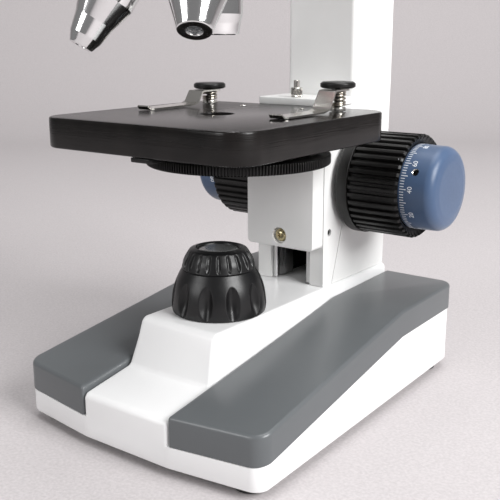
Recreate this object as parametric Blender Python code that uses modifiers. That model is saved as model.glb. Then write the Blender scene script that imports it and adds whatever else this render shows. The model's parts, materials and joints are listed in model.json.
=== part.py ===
"""Student compound microscope: base with side covers, lamp, arm, coaxial focus, stage, turret and head.

Lengths below are in millimetres and are turned into metres by MM. Everything is placed from the centre of
the stage's top face, on the optical axis: +X to the object's right, +Y back to the arm, +Z up.
"""

import math

import bmesh
import bpy
from mathutils import Matrix, Vector

MM = 0.001
GAP = 0.3
UP = Vector((0, 0, 1))
SIDES = ((-1, "left"), (1, "right"))

# The world frame: the table is z = 0, and the outline's box is centred on x = y = 0.
AXIS_Y = -22.85
STAGE_TOP = 113.8

# Base
FOOT_HEIGHT = 3.0
BASE_BOTTOM = -STAGE_TOP + FOOT_HEIGHT
BASE_HALF_WIDTH = 52.7
BASE_TAPER = 0.035
BASE_FRONT, BASE_REAR = -53.0, 97.0
BASE_FRONT_SWEEP = 4.5
BASE_WALL = 3.0
COVER_TOP = -76.5
COVER_BREAK_Y = 47.6
COVER_SLOPE = 0.154
COVER_DEPTH = 10.5
COVER_OVERHANG = 0.8
COVER_WALL = 2.5
SPINE_HALF_WIDTH = 19.7
SADDLE_TOP = -73.0
SADDLE_FRONT = -25.0
FOOT_RADIUS = 6.0
FOOT_SPOTS = {
    "front_left": (-44.5, -40.5),
    "front_right": (44.5, -40.5),
    "rear_left": (-41.5, 86.0),
    "rear_right": (41.5, 86.0),
}
SCREW_SPOTS = ((-31.0, -40.0), (31.0, -40.0), (-31.0, 86.0), (31.0, 86.0))

# Lamp
LAMP_RADIUS = 17.8
LAMP_SEAM = -56.6
LAMP_TOP = -48.5
LAMP_GLASS_RADIUS = 7.7

# Arm and guide
ARM_HALF_WIDTH = 16.2
RAIL_FRONT = 45.2
SLOT_HALF_WIDTH = 9.8
SLOT_BACK = 78.0
COLUMN_FRONT = 66.0
ARM_HEAD_BOTTOM, ARM_HEAD_TOP = 76.0, 120.0
ARM_HEAD_RADIUS = 25.0

# The optical axis: the lamp, aperture, turret and head stand on it
OPTICS = Vector((0, -1.5, 0))

# Focus drive, on one axis along X
DRIVE_Y, DRIVE_Z = 70.5, -31.7
PITCH_RADIUS = 5.0
PINION_TEETH = 16
TOOTH_RISE = 0.5
COARSE_RADIUS = 20.8
FLANGE_RADIUS = 21.2
FINE_RADIUS = 16.9
SHAFT_RADIUS, SHAFT_BORE, FINE_SHAFT_RADIUS = 3.0, 1.9, 1.5

# Stage and what it carries
STAGE_HALF = 45.0
STAGE_THICK = 10.5
STAGE_CORNER = 10.0
APERTURE_RADIUS = 6.0
BRACKET_HALF_WIDTH = 16.1
BRACKET_FRONT, BRACKET_BOTTOM = 37.3, -56.5
BRACKET_SCREW_Z = -51.8
DISC_X, DISC_Y = 12.3, -4.7
DISC_RADIUS = 32.1
DISC_TOP, DISC_BOTTOM = -12.4, -15.9
CLIP_X, CLIP_Y = 30.2, 31.0

# Turret: its axis leans forward by TURRET_TILT from straight down, through APEX
TURRET_TILT = math.radians(18)
APEX = OPTICS + Vector((0, 0, 102.2))
HEAD_FACE, TURRET_FACE = 14.0, 19.2
SEAT_DISTANCE = 48.0
LIGHT_BORE = 7.5

# Head: the eyepiece tube leans back at 45 degrees
HEAD_CENTRE = OPTICS + Vector((0, 0, 141.0))
TUBE_TILT = math.radians(45)
TUBE_LENGTH = 62.0
TUBE_RADIUS, TUBE_BORE = 14.5, 11.7

FINISHES = {
    "white_paint": ((0.86, 0.86, 0.85), 0.35, 0.0),
    "grey_plastic": ((0.22, 0.23, 0.24), 0.5, 0.0),
    "black_plastic": ((0.015, 0.015, 0.016), 0.35, 0.0),
    "black_stage": ((0.03, 0.03, 0.032), 0.4, 0.0),
    "blue_rubber": ((0.11, 0.17, 0.32), 0.55, 0.0),
    "steel": ((0.6, 0.6, 0.6), 0.3, 1.0),
    "nickel": ((0.72, 0.7, 0.66), 0.2, 1.0),
    "brass": ((0.75, 0.6, 0.32), 0.3, 1.0),
    "chrome": ((0.8, 0.8, 0.8), 0.12, 1.0),
    "glass": ((0.8, 0.86, 0.9), 0.05, 0.0),
    "rubber": ((0.02, 0.02, 0.02), 0.8, 0.0),
    "circuit_board": ((0.05, 0.25, 0.1), 0.5, 0.0),
    "battery": ((0.2, 0.3, 0.2), 0.4, 0.0),
}


def clear_scene():
    for item in list(bpy.data.objects):
        bpy.data.objects.remove(item, do_unlink=True)
    for name in ("microscope", "cutters"):
        bpy.context.scene.collection.children.link(bpy.data.collections.new(name))
    origin = bpy.data.objects.new("stage_centre", None)
    origin.location = (0, AXIS_Y * MM, STAGE_TOP * MM)
    bpy.data.collections["microscope"].objects.link(origin)
    return origin


ORIGIN = clear_scene()


def finish(name):
    """The Principled material of one of FINISHES."""
    found = bpy.data.materials.get(name)
    if found:
        return found
    colour, roughness, metallic = FINISHES[name]
    found = bpy.data.materials.new(name)
    found.use_nodes = True
    shader = found.node_tree.nodes["Principled BSDF"]
    shader.inputs["Base Color"].default_value = (*colour, 1)
    shader.inputs["Roughness"].default_value = roughness
    shader.inputs["Metallic"].default_value = metallic
    return found


def place(name, mesh, material, location=(0, 0, 0), direction=(0, 0, 1)):
    """An object at a place measured from the stage's centre. A material of None makes it a cutter."""
    item = bpy.data.objects.new(name, mesh)
    item.parent = ORIGIN
    item.location = Vector(location) * MM
    item.rotation_mode = "QUATERNION"
    item.rotation_quaternion = UP.rotation_difference(Vector(direction))
    if material is None:
        bpy.data.collections["cutters"].objects.link(item)
        item.hide_render = True
        item.display_type = "WIRE"
    else:
        bpy.data.collections["microscope"].objects.link(item)
        mesh.materials.append(finish(material))
    return item


def boolean(item, other, operation="DIFFERENCE"):
    step = item.modifiers.new(other.name, "BOOLEAN")
    step.operation = operation
    step.solver = "EXACT"
    step.object = other
    return item


def bevel(item, width, segments=2, angle=40):
    step = item.modifiers.new("bevel", "BEVEL")
    step.width = width * MM
    step.segments = segments
    step.limit_method = "ANGLE"
    step.angle_limit = math.radians(angle)
    return item


def smooth(mesh, angle=35):
    mesh.shade_smooth()
    mesh.set_sharp_from_angle(angle=math.radians(angle))
    return mesh


def block_mesh(low, high, centre=(0, 0, 0)):
    """A box between two corners, with its origin at centre."""
    low, high, centre = Vector(low), Vector(high), Vector(centre)
    mesh = bpy.data.meshes.new("block")
    shape = bmesh.new()
    size = Matrix.Diagonal((*(high - low), 1))
    bmesh.ops.create_cube(shape, size=1, matrix=Matrix.Translation((low + high) / 2 - centre) @ size)
    bmesh.ops.scale(shape, vec=(MM, MM, MM), verts=shape.verts)
    shape.to_mesh(mesh)
    shape.free()
    return mesh


def block(name, low, high, material=None, centre=(0, 0, 0)):
    return place(name, block_mesh(low, high, centre), material, centre)


def rod_mesh(radius, low, high, sides=20):
    """A cylinder along local Z between two heights."""
    mesh = bpy.data.meshes.new("rod")
    shape = bmesh.new()
    spot = Matrix.Translation((0, 0, (low + high) / 2))
    bmesh.ops.create_cone(shape, cap_ends=True, segments=sides, radius1=radius, radius2=radius,
                          depth=high - low, matrix=spot)
    bmesh.ops.scale(shape, vec=(MM, MM, MM), verts=shape.verts)
    shape.to_mesh(mesh)
    shape.free()
    return smooth(mesh)


def rod(name, radius, low, high, material=None, location=(0, 0, 0), direction=(0, 0, 1), sides=20):
    return place(name, rod_mesh(radius, low, high, sides), material, location, direction)


def turned(name, profile, material=None, location=(0, 0, 0), direction=(0, 0, 1), steps=24, closed=False):
    """A profile of (radius, height) points, from the top down the outside, turned about local Z."""
    points = [(r * MM, 0, h * MM) for r, h in profile]
    edges = [(i, i + 1) for i in range(len(points) - 1)]
    if closed:
        edges.append((len(points) - 1, 0))
    mesh = bpy.data.meshes.new(name)
    mesh.from_pydata(points, edges, [])
    item = place(name, mesh, material, location, direction)
    step = item.modifiers.new("turn", "SCREW")
    step.steps = step.render_steps = steps
    step.use_merge_vertices = True
    step.merge_threshold = 0.00001
    step.use_smooth_shade = True
    return item


def slab_mesh(outline, low, high, along="Z"):
    """A flat outline extruded between two places along X (outline is y, z), Y (x, z) or Z (x, y)."""
    curve = bpy.data.curves.new("outline", "CURVE")
    curve.dimensions = "2D"
    curve.fill_mode = "BOTH"
    curve.extrude = (high - low) / 2 * MM
    spline = curve.splines.new("POLY")
    spline.points.add(len(outline) - 1)
    for point, (u, v) in zip(spline.points, outline):
        point.co = (u * MM, v * MM, 0, 1)
    spline.use_cyclic_u = True
    guide = bpy.data.objects.new("outline", curve)
    bpy.data.collections["cutters"].objects.link(guide)
    bpy.context.view_layer.update()
    evaluated = guide.evaluated_get(bpy.context.evaluated_depsgraph_get())
    mesh = bpy.data.meshes.new_from_object(evaluated)
    bpy.data.objects.remove(guide)
    shape = bmesh.new()
    shape.from_mesh(mesh)
    bmesh.ops.remove_doubles(shape, verts=shape.verts, dist=0.000001)
    turn = {
        "X": Matrix(((0, 0, 1), (1, 0, 0), (0, 1, 0))),
        "Y": Matrix(((1, 0, 0), (0, 0, -1), (0, 1, 0))),
        "Z": Matrix.Identity(3),
    }[along]
    middle = (low + high) / 2 * (-1 if along == "Y" else 1)
    bmesh.ops.translate(shape, vec=(0, 0, middle * MM), verts=shape.verts)
    bmesh.ops.transform(shape, matrix=turn.to_4x4(), verts=shape.verts)
    bmesh.ops.recalc_face_normals(shape, faces=shape.faces)
    shape.to_mesh(mesh)
    shape.free()
    return mesh


def slab(name, outline, low, high, along="Z", material=None, location=(0, 0, 0)):
    return place(name, slab_mesh(outline, low, high, along), material, location)


def arc(centre, radius, start, end, count):
    """Points on an arc, from one angle in degrees to another."""
    steps = [start + (end - start) * i / count for i in range(count + 1)]
    turns = [math.radians(a) for a in steps]
    return [(centre[0] + radius * math.cos(a), centre[1] + radius * math.sin(a)) for a in turns]


def rounded_rectangle(half_x, low_y, high_y, radius, count=4):
    right, left = half_x - radius, radius - half_x
    low, high = low_y + radius, high_y - radius
    return (arc((right, low), radius, -90, 0, count) + arc((right, high), radius, 0, 90, count)
            + arc((left, high), radius, 90, 180, count) + arc((left, low), radius, 180, 270, count))


def base_half_width(y):
    return BASE_HALF_WIDTH - BASE_TAPER * y


def cover_height(y):
    """The covers' top: level at the back, and falling to the front ahead of the break."""
    return COVER_TOP - COVER_SLOPE * max(0.0, COVER_BREAK_Y - y)


def base_outline(inset, inner_x=0.0):
    """The right half of the base's plan, grown or shrunk by inset, from inner_x outwards."""
    rear = BASE_REAR - inset
    front_outer = BASE_FRONT + BASE_FRONT_SWEEP + inset
    front_inner = BASE_FRONT + inset
    wide_front = base_half_width(front_outer) - inset
    wide_rear = base_half_width(rear) - inset
    corner = 5.0 - inset * 0.8
    return ([(inner_x, front_inner), (SPINE_HALF_WIDTH, front_inner)]
            + arc((wide_front - corner, front_outer + corner), corner, -82, 0, 4)
            + arc((wide_rear - corner, rear - corner), corner, 0, 90, 4)
            + [(inner_x, rear)])


def mirrored(outline):
    return outline + [(-x, y) for x, y in reversed(outline) if x > 0.01]


def cover_profile(top_drop, bottom_drop, low_y, high_y):
    """The side view of the layer between two depths under the covers' top."""
    spots = (low_y, COVER_BREAK_Y, high_y)
    return ([(y, cover_height(y) - bottom_drop) for y in spots]
            + [(y, cover_height(y) - top_drop) for y in reversed(spots)])


def make_base_housing():
    plan = mirrored(base_outline(0)[1:-1])
    housing = slab("base_housing", plan, BASE_BOTTOM, -70, "Z", "white_paint")
    above = [(-80, cover_height(-80) - COVER_DEPTH - GAP), (COVER_BREAK_Y, COVER_TOP - COVER_DEPTH - GAP),
             (120, COVER_TOP - COVER_DEPTH - GAP), (120, -40), (-80, -40)]
    boolean(housing, slab("deck_cutter", above, -80, 80, "X"))

    spine_side = [(BASE_FRONT, BASE_BOTTOM), (BASE_REAR, BASE_BOTTOM), (BASE_REAR, SADDLE_TOP - 1.5),
                  (BASE_REAR - 1.5, SADDLE_TOP), (SADDLE_FRONT, SADDLE_TOP), (-30, -89.5), (-50.5, -93.3),
                  (-52.3, -94.3), (BASE_FRONT, -96)]
    spine = slab("spine", spine_side, -SPINE_HALF_WIDTH, SPINE_HALF_WIDTH, "X")
    bevel(spine, 1.6, 2, 50)
    boolean(housing, spine, "UNION")

    inside = slab("tray_cutter", mirrored(base_outline(BASE_WALL)[1:-1]), BASE_BOTTOM - 1, -60, "Z")
    drop = COVER_DEPTH + GAP + BASE_WALL
    roof = [(-80, cover_height(-80) - drop), (COVER_BREAK_Y, COVER_TOP - drop), (120, COVER_TOP - drop),
            (120, -40), (-80, -40)]
    boolean(inside, slab("tray_roof", roof, -80, 80, "X"))
    boolean(housing, inside)
    room = [(SADDLE_FRONT + 5, -112), (BASE_REAR - BASE_WALL, -112), (BASE_REAR - BASE_WALL, SADDLE_TOP - 4),
            (SADDLE_FRONT + 5, SADDLE_TOP - 4)]
    boolean(housing, slab("spine_cutter", room, -15.5, 15.5, "X"))

    for index, (x, y) in enumerate(SCREW_SPOTS):
        top = cover_height(y) - drop + 1.5
        boolean(housing, rod(f"boss_{index}", 3.6, -108.6, top, None, (x, y, 0), sides=16), "UNION")
        boolean(housing, rod(f"boss_bore_{index}", 1.5, -110, -103, None, (x, y, 0), sides=12))
    boolean(housing, rod("wire_hole", 3.5, -80, -70, None, OPTICS))
    boolean(housing, block("switch_hole", (-36.2, 90, -104.8), (-19.8, 100, -94.2)))
    boolean(housing, rod("jack_hole", 4.1, -6, 6, None, (28, BASE_REAR, -99.5), (0, 1, 0)))


def make_side_cover(side):
    name = "side_cover_right" if side > 0 else "side_cover_left"
    inner = SPINE_HALF_WIDTH + GAP
    outer = [(x, y) for x, y in base_outline(-COVER_OVERHANG, inner) if x > SPINE_HALF_WIDTH + 0.1]
    outer = [(inner, BASE_FRONT)] + outer[1:-1] + [(inner, BASE_REAR + COVER_OVERHANG)]
    inside = [(x, y) for x, y in base_outline(COVER_WALL - COVER_OVERHANG) if x > inner + COVER_WALL]
    inside = [(inner + COVER_WALL, BASE_FRONT + 3)] + inside + [(inner + COVER_WALL, BASE_REAR - 2)]
    cover = slab(name, [(side * x, y) for x, y in outer], -112, -60, "Z", "grey_plastic")
    layer = slab(f"{name}_layer", cover_profile(0, COVER_DEPTH, -80, 120), -80, 80, "X")
    boolean(cover, layer, "INTERSECT")
    bevel(cover, 1.4, 2, 50)
    hollow = slab(f"{name}_hollow", [(side * x, y) for x, y in inside], -112, -60, "Z")
    layer = slab(f"{name}_hollow_layer", cover_profile(COVER_WALL, 30, -80, 120), -80, 80, "X")
    boolean(hollow, layer, "INTERSECT")
    boolean(cover, hollow)


def make_base_underside():
    plan = mirrored(base_outline(BASE_WALL + GAP)[1:-1])
    plate = slab("base_plate", plan, BASE_BOTTOM + 0.3, BASE_BOTTOM + 1.8, "Z", "steel")
    for index, (x, y) in enumerate(SCREW_SPOTS):
        boolean(plate, rod(f"plate_hole_{index}", 1.9, -112, -108, None, (x, y, 0), sides=12))
    for word, (x, y) in FOOT_SPOTS.items():
        rod(f"rubber_foot_{word}", FOOT_RADIUS, -STAGE_TOP, BASE_BOTTOM, "rubber", (x, y, 0), sides=16)


def make_power():
    pack = block("battery_pack", (-22.5, 38, -108.5), (22.5, 90, -93.5), "battery")
    bevel(pack, 3.0, 2)

    frame = block("switch_frame", (-37.2, BASE_REAR + 0.3, -105.8), (-18.8, BASE_REAR + 1.5, -93.2),
                  "black_plastic")
    body = block("switch_body", (-35.8, 93.2, -104.4), (-20.2, BASE_REAR + 1, -94.6))
    boolean(frame, body, "UNION")
    boolean(frame, block("switch_well", (-34.6, 94.4, -103.4), (-21.4, 100, -95.6)))
    rocker = [(95.2, -102.4), (97.6, -102.9), (98.4, -102.7), (97.9, -99.5), (98.4, -96.3), (97.6, -96.1),
              (95.2, -96.6)]
    spot = (0, 96, -99.5)
    mesh = slab_mesh([(y - spot[1], z - spot[2]) for y, z in rocker], -34.2, -21.8, "X")
    place("rocker_switch", mesh, "black_plastic", spot)
    ring = [(1.8, 1.6), (5.4, 1.6), (5.4, 0.3), (3.8, 0.3), (3.8, -6), (1.8, -6)]
    turned("power_jack", ring, "black_plastic", (28, BASE_REAR, -99.5), (0, 1, 0), 16, True)


def make_lamp():
    shell = [(13.7, LAMP_SEAM), (15.6, -59.5), (17.0, -63.5), (17.6, -67.5), (LAMP_RADIUS, -70.4),
             (17.5, -72), (17.2, SADDLE_TOP + GAP), (13.6, SADDLE_TOP + GAP), (15.0, -68), (14.2, -63.5),
             (12.6, -59.5), (11.2, LAMP_SEAM)]
    turned("lamp_housing", shell, "black_plastic", OPTICS, steps=24, closed=True)
    seam = LAMP_SEAM + GAP
    cap = [(LAMP_GLASS_RADIUS, LAMP_TOP), (9.4, LAMP_TOP), (11.0, -49.6), (12.8, -52.6), (13.7, seam),
           (11.2, seam), (10.6, -53.2), (9.6, -51.6), (6.6, -51.6), (6.6, -50.9), (LAMP_GLASS_RADIUS, -50.9)]
    turned("lamp_cap", cap, "black_plastic", OPTICS, steps=24, closed=True)
    lens = [(0, -48.9), (5, -49.0), (7.4, -49.4), (7.4, -50.6), (0, -50.6)]
    turned("lamp_lens", lens, "glass", OPTICS, steps=20)
    board = [(0, -68.4), (2.3, -68.9), (2.6, -69.9), (12.5, -69.9), (12.5, -71.5), (0, -71.5)]
    turned("led_board", board, "circuit_board", OPTICS, steps=16)


def arm_outline():
    """The side view of the arm: guide block, column, and the sweep forward to the head."""
    foot = SADDLE_TOP + GAP
    back = [(96.5, foot), (98.7, 10), (98.7, 48)] + arc((46.7, 48), 52, 15, 75, 5) + [(24, 103), (24, 112)]
    front = [(20, 112), (20, 90)] + arc((34, 58), 32, 84, 0, 6) + [(COLUMN_FRONT, -0.5), (RAIL_FRONT, -0.5)]
    return [(RAIL_FRONT, foot)] + back + front


def make_arm():
    arm = slab("arm", arm_outline(), -ARM_HALF_WIDTH, ARM_HALF_WIDTH, "X", "white_paint")
    head = rod("arm_head", ARM_HEAD_RADIUS, ARM_HEAD_BOTTOM, ARM_HEAD_TOP, None, OPTICS, sides=32)
    boolean(arm, head, "UNION")
    below = rod("turret_space", 34, HEAD_FACE, 60, None, APEX, turret_axis(), 40)
    boolean(arm, below)
    boolean(arm, block("guide_slot", (-SLOT_HALF_WIDTH, 30, -80), (SLOT_HALF_WIDTH, SLOT_BACK, -6)))
    boolean(arm, block("slot_mouth", (-SLOT_HALF_WIDTH, 30, -10), (SLOT_HALF_WIDTH, 60, 5)))
    boolean(arm, rod("shaft_hole", 5.3, -30, 30, None, (0, DRIVE_Y, DRIVE_Z), (1, 0, 0)))
    boolean(arm, rod("screw_hole", 1.15, -30, 30, None, (0, 49.6, -50.7), (1, 0, 0), 8))
    boolean(arm, rod("light_hole", LIGHT_BORE, 70, 130, None, OPTICS))
    boolean(arm, rod("lock_hole", 2.3, 15, 40, None, (0, OPTICS.y, 112.5), (1, 0, 0), 12))
    boolean(arm, rod("head_seat", 19.0, 106, 130, None, OPTICS, sides=24))

    for side, word in SIDES:
        section = [(side * 9.5, 46.5), (side * 9.5, 58), (side * 7.1, 58), (side * 7.1, 52.5),
                   (side * 8.3, 49.6), (side * 7.1, 46.5)]
        slab(f"guide_rail_{word}", section, -72.4, -1.2, "Z", "steel")
        bush = [(3.3, 17.1), (7.0, 17.1), (7.0, 16.5), (5.0, 16.5), (5.0, 10.1), (3.3, 10.1)]
        turned(f"bearing_bush_{word}", bush, "brass", (0, DRIVE_Y, DRIVE_Z), (side, 0, 0), 14, True)

    plate = block("stop_plate", (-ARM_HALF_WIDTH, RAIL_FRONT, -0.2), (ARM_HALF_WIDTH, 65.6, 2.8), "white_paint")
    bevel(plate, 0.5, 2)
    boolean(plate, rod("stop_hole", 1.9, -5, 10, None, (0, 49.0, 0), sides=16))
    screw = [(0, 9.5), (1.2, 9.5), (1.2, 6.6), (2.3, 6.4), (2.3, 3.1), (1.6, 3.1), (1.6, -1.6), (0, -1.6)]
    turned("stop_screw", screw, "nickel", (0, 49.0, 0), steps=12)


def gear_outline(teeth, root, tip, share):
    """A toothed wheel's outline, with each tooth as wide as share of its pitch at the root."""
    points = []
    for tooth in range(teeth):
        middle = 360 * (tooth + 0.5) / teeth
        half = 180 * share / teeth
        for radius, turn in ((root, -half), (tip, -half * 0.55), (tip, half * 0.55), (root, half)):
            angle = math.radians(middle + turn)
            points.append((radius * math.cos(angle), radius * math.sin(angle)))
    return points


def make_focus_drive():
    axis = (0, DRIVE_Y, DRIVE_Z)
    tube = [(SHAFT_BORE, 41), (SHAFT_RADIUS, 41), (SHAFT_RADIUS, -41), (SHAFT_BORE, -41)]
    turned("coarse_shaft", tube, "steel", axis, (1, 0, 0), 20, True)
    rod("fine_shaft", FINE_SHAFT_RADIUS, -52, 52, "steel", axis, (1, 0, 0), 16)

    pinion = slab("coarse_pinion", gear_outline(PINION_TEETH, 4.2, PITCH_RADIUS + TOOTH_RISE, 0.62), -5, 5,
                  "X", "brass", axis)
    boolean(pinion, rod("pinion_bore", 3.3, -8, 8, None, axis, (1, 0, 0), 20))

    for side, word in SIDES:
        out = (side, 0, 0)
        flange = [(3.3, 23.3), (20.2, 23.3), (FLANGE_RADIUS, 22.3), (FLANGE_RADIUS, 19.4), (19.4, 17.5),
                  (3.3, 17.5)]
        turned(f"knob_flange_{word}", flange, "black_plastic", axis, out, 32, True)
        knob = [(17.4, 45.4), (18.6, 45.4), (COARSE_RADIUS, 43.4), (COARSE_RADIUS, 23.6), (3.3, 23.6),
                (3.3, 42.8), (17.4, 42.8)]
        turned(f"coarse_knob_{word}", knob, "black_plastic", axis, out, 32, True)
        grip = [(0, 58.8), (11.5, 58.8), (14.0, 58.0), (16.1, 56.0), (FINE_RADIUS, 53.4), (FINE_RADIUS, 44.3),
                (16.5, 43.2), (1.8, 43.2), (1.8, 52.6), (0, 52.6)]
        turned(f"fine_knob_{word}", grip, "blue_rubber", axis, out, 32)


def rack_outline():
    """The rack's side view: a back face, and teeth that meet the pinion's between two of its teeth."""
    pitch = 2 * math.pi * PITCH_RADIUS / PINION_TEETH
    line = DRIVE_Y - PITCH_RADIUS
    root, tip = line - 0.9, line + 0.45
    low, high = -56.0, -14.4
    points = [(59.6, low), (root, low)]
    first = math.ceil((low - DRIVE_Z + 0.5) / pitch)
    last = math.floor((high - DRIVE_Z - 0.5) / pitch)
    for index in range(first, last + 1):
        middle = DRIVE_Z + index * pitch
        for y, offset in ((root, -0.31), (tip, -0.17), (tip, 0.17), (root, 0.31)):
            points.append((y, middle + offset * pitch))
    return points + [(root, high), (59.6, high)]


def make_slide_and_bracket():
    section = [(-6.6, 49.2), (6.6, 49.2), (7.7, 49.8), (6.6, 52.3), (6.6, 59.3), (-6.6, 59.3), (-6.6, 52.3),
               (-7.7, 49.8)]
    slab("rack_slide", section, -56.0, -10.0, "Z", "steel")
    slab("rack", rack_outline(), -4, 4, "X", "brass")

    plate = block("fine_slide_plate", (-6.4, 45.5, -56), (6.4, 48.8, -12), "steel")
    face = rounded_rectangle(BRACKET_HALF_WIDTH, BRACKET_BOTTOM, -4, 3.0, 3)
    bracket = slab("stage_bracket", face, BRACKET_FRONT, RAIL_FRONT - GAP, "Y", "white_paint")
    boolean(bracket, block("bracket_top", (-30, 20, -STAGE_THICK - GAP), (30, 60, 10)))
    spot = (0, BRACKET_FRONT, BRACKET_SCREW_Z)
    boolean(bracket, rod("counterbore", 3.3, -4, 1.8, None, spot, (0, 1, 0), 16))
    boolean(bracket, rod("screw_way", 1.9, 0, 9, None, spot, (0, 1, 0), 12))
    boolean(plate, rod("plate_thread", 1.9, 0, 13, None, spot, (0, 1, 0), 12))
    shank = [(0, 9.8), (1.5, 9.8), (1.5, 1.5), (2.8, 1.5), (2.6, 0.6), (1.6, 0.2), (0, 0.2)]
    turned("bracket_screw", shank, "brass", (0, BRACKET_FRONT, BRACKET_SCREW_Z), (0, 1, 0), 14)


def make_stage():
    outline = rounded_rectangle(STAGE_HALF, -STAGE_HALF - 0.2, STAGE_HALF - 0.2, STAGE_CORNER)
    stage = slab("stage_plate", outline, -STAGE_THICK, 0, "Z", "black_stage")
    bevel(stage, 0.5, 1, 60)
    boolean(stage, rod("aperture", APERTURE_RADIUS, -20, 5, None, OPTICS, sides=24))
    boolean(stage, rod("lens_seat", 9.3, -20, -4.0, None, OPTICS, sides=24))
    for side in (-1, 1):
        boolean(stage, rod(f"post_hole_{side}", 2.2, -20, 5, None, (side * CLIP_X, CLIP_Y, 0), sides=16))
    boolean(stage, rod("pivot_thread", 1.9, -20, -5, None, (DISC_X, DISC_Y, 0), sides=12))
    boolean(stage, rod("spring_thread", 1.3, -20, -5, None, (3.5, -41, 0), sides=12))

    lens = [(0, -4.4), (4, -4.8), (7, -6.2), (9.0, -8.0), (9.0, -10.2), (0, -10.2)]
    turned("condenser_lens", lens, "glass", OPTICS, steps=20)

    pivot = [(0, -5.4), (1.6, -5.4), (1.6, -10.8), (2.4, -10.8), (2.4, DISC_BOTTOM - GAP),
             (4.2, DISC_BOTTOM - GAP), (3.8, -17.6), (0, -17.6)]
    turned("diaphragm_pivot", pivot, "nickel", (DISC_X, DISC_Y, 0), steps=14)
    strip = block("diaphragm_spring", (-1, -44.6, -11.9), (8, -36.5, -10.8), "steel")
    boolean(strip, rod("spring_pin", 1.0, -12.2, -5.4, None, (3.5, -41, 0), sides=12), "UNION")


def make_diaphragm():
    spot = (DISC_X, DISC_Y, 0)
    disc = rod("diaphragm_disc", DISC_RADIUS, DISC_BOTTOM, DISC_TOP, "black_plastic", spot, sides=40)
    boolean(disc, rod("disc_bore", 2.7, -20, -5, None, spot, sides=20))
    reach = math.hypot(DISC_X, DISC_Y - OPTICS.y)
    start = math.atan2(OPTICS.y - DISC_Y, -DISC_X)
    for index, radius in enumerate((5.0, 0.8, 1.8, 2.9, 4.0)):
        turn = start + index * math.tau / 5
        hole = (DISC_X + reach * math.cos(turn), DISC_Y + reach * math.sin(turn), 0)
        boolean(disc, rod(f"stop_{index}", radius, -20, -5, None, hole, sides=12))


def make_clip(side):
    """A stage clip. The left one's button is screwed further down than the right one's."""
    word = "right" if side > 0 else "left"
    spot = (side * CLIP_X, CLIP_Y, 0)
    down = 0.0 if side > 0 else 2.2
    post = [(0, 7.9 - down), (1.2, 7.9 - down), (1.2, 1.6), (3.1, 1.6), (3.1, 0.3), (1.8, 0.3), (1.8, -11.0), (2.9, -11.0),
            (2.9, -12.0), (0, -12.0)]
    turned(f"clip_post_{word}", post, "nickel", spot, steps=10)

    turns, rise, coil, wire = (4.5, 5.1, 2.35, 0.4) if side > 0 else (3.0, 2.9, 2.35, 0.4)
    count = int(turns * 9)
    path = [(coil * math.cos(math.tau * turns * i / count), coil * math.sin(math.tau * turns * i / count),
             2.05 + wire + (rise - 2.0 * wire) * i / count) for i in range(count + 1)]
    make_wire(f"clip_spring_{word}", path, wire, "nickel", spot)

    bend = 0.69 * down
    side_view = [(-38.4, 1.5), (-37.4, 0.35), (-34.6, 0.35), (-15, 0.45), (-11, 1.1), (-6.6 - bend, 7.5 - down),
                 (4.3, 7.5 - down), (4.3, 8.1 - down), (-7.0 - bend, 8.1 - down), (-11.4, 1.7), (-15.2, 1.0),
                 (-34.4, 0.9), (-37.2, 0.9), (-38.2, 1.9)]
    hinge = (spot[0], CLIP_Y - 14.0, 0.4)
    mesh = slab_mesh([(y + 14.0, z - 0.4) for y, z in side_view], -3.6, 3.6, "X")
    clip = place(f"clip_strip_{word}", mesh, "nickel", hinge)
    boolean(clip, rod(f"eye_{word}", 2.2, 4, 12, None, spot, sides=16))
    button = [(0, 10.8), (5.6, 10.8), (6.4, 10.2), (6.4, 9.0), (5.6, 8.4), (2.2, 8.4), (2.2, 9.9), (0, 9.9)]
    button = [(radius, height - down) for radius, height in button]
    turned(f"clip_button_{word}", button, "black_plastic", spot, steps=20)


def make_wire(name, path, radius, material, location):
    """A round wire along a list of points."""
    curve = bpy.data.curves.new(name, "CURVE")
    curve.dimensions = "3D"
    curve.bevel_depth = radius * MM
    curve.bevel_resolution = 0
    curve.use_fill_caps = True
    spline = curve.splines.new("POLY")
    spline.points.add(len(path) - 1)
    for point, spot in zip(spline.points, path):
        point.co = (*(Vector(spot) * MM), 1)
    item = bpy.data.objects.new(name, curve)
    item.parent = ORIGIN
    item.location = Vector(location) * MM
    bpy.data.collections["microscope"].objects.link(item)
    curve.materials.append(finish(material))


def turret_axis():
    return Vector((0, -math.sin(TURRET_TILT), -math.cos(TURRET_TILT)))


def objective_direction(turn):
    """The way an objective points when the turret stands turn degrees from using it."""
    spin = Matrix.Rotation(math.radians(turn), 3, turret_axis())
    return spin @ Vector((0, 0, -1))


def make_nosepiece():
    axis = turret_axis()
    mount = rod("nosepiece_mount", 22.0, HEAD_FACE + GAP, TURRET_FACE - GAP, "chrome", APEX, axis, 24)
    boolean(mount, rod("mount_bore", LIGHT_BORE, 60, 130, None, OPTICS))

    shell = [(0, -TURRET_FACE), (26.0, -TURRET_FACE), (26.0, -30.0), (24.6, -32.0), (23.0, -37.0),
             (18.5, -43.0), (0, -43.0)]
    turret = turned("turret", shell, "chrome", APEX, -axis, 32)
    for index in range(3):
        way = objective_direction(120 * index)
        boss = rod(f"seat_{index}", 11.0, 32, SEAT_DISTANCE - GAP, None, APEX, way, 20)
        boolean(turret, boss, "UNION")
        boolean(turret, rod(f"seat_bore_{index}", LIGHT_BORE, 10, 60, None, APEX, way, 16))


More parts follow.
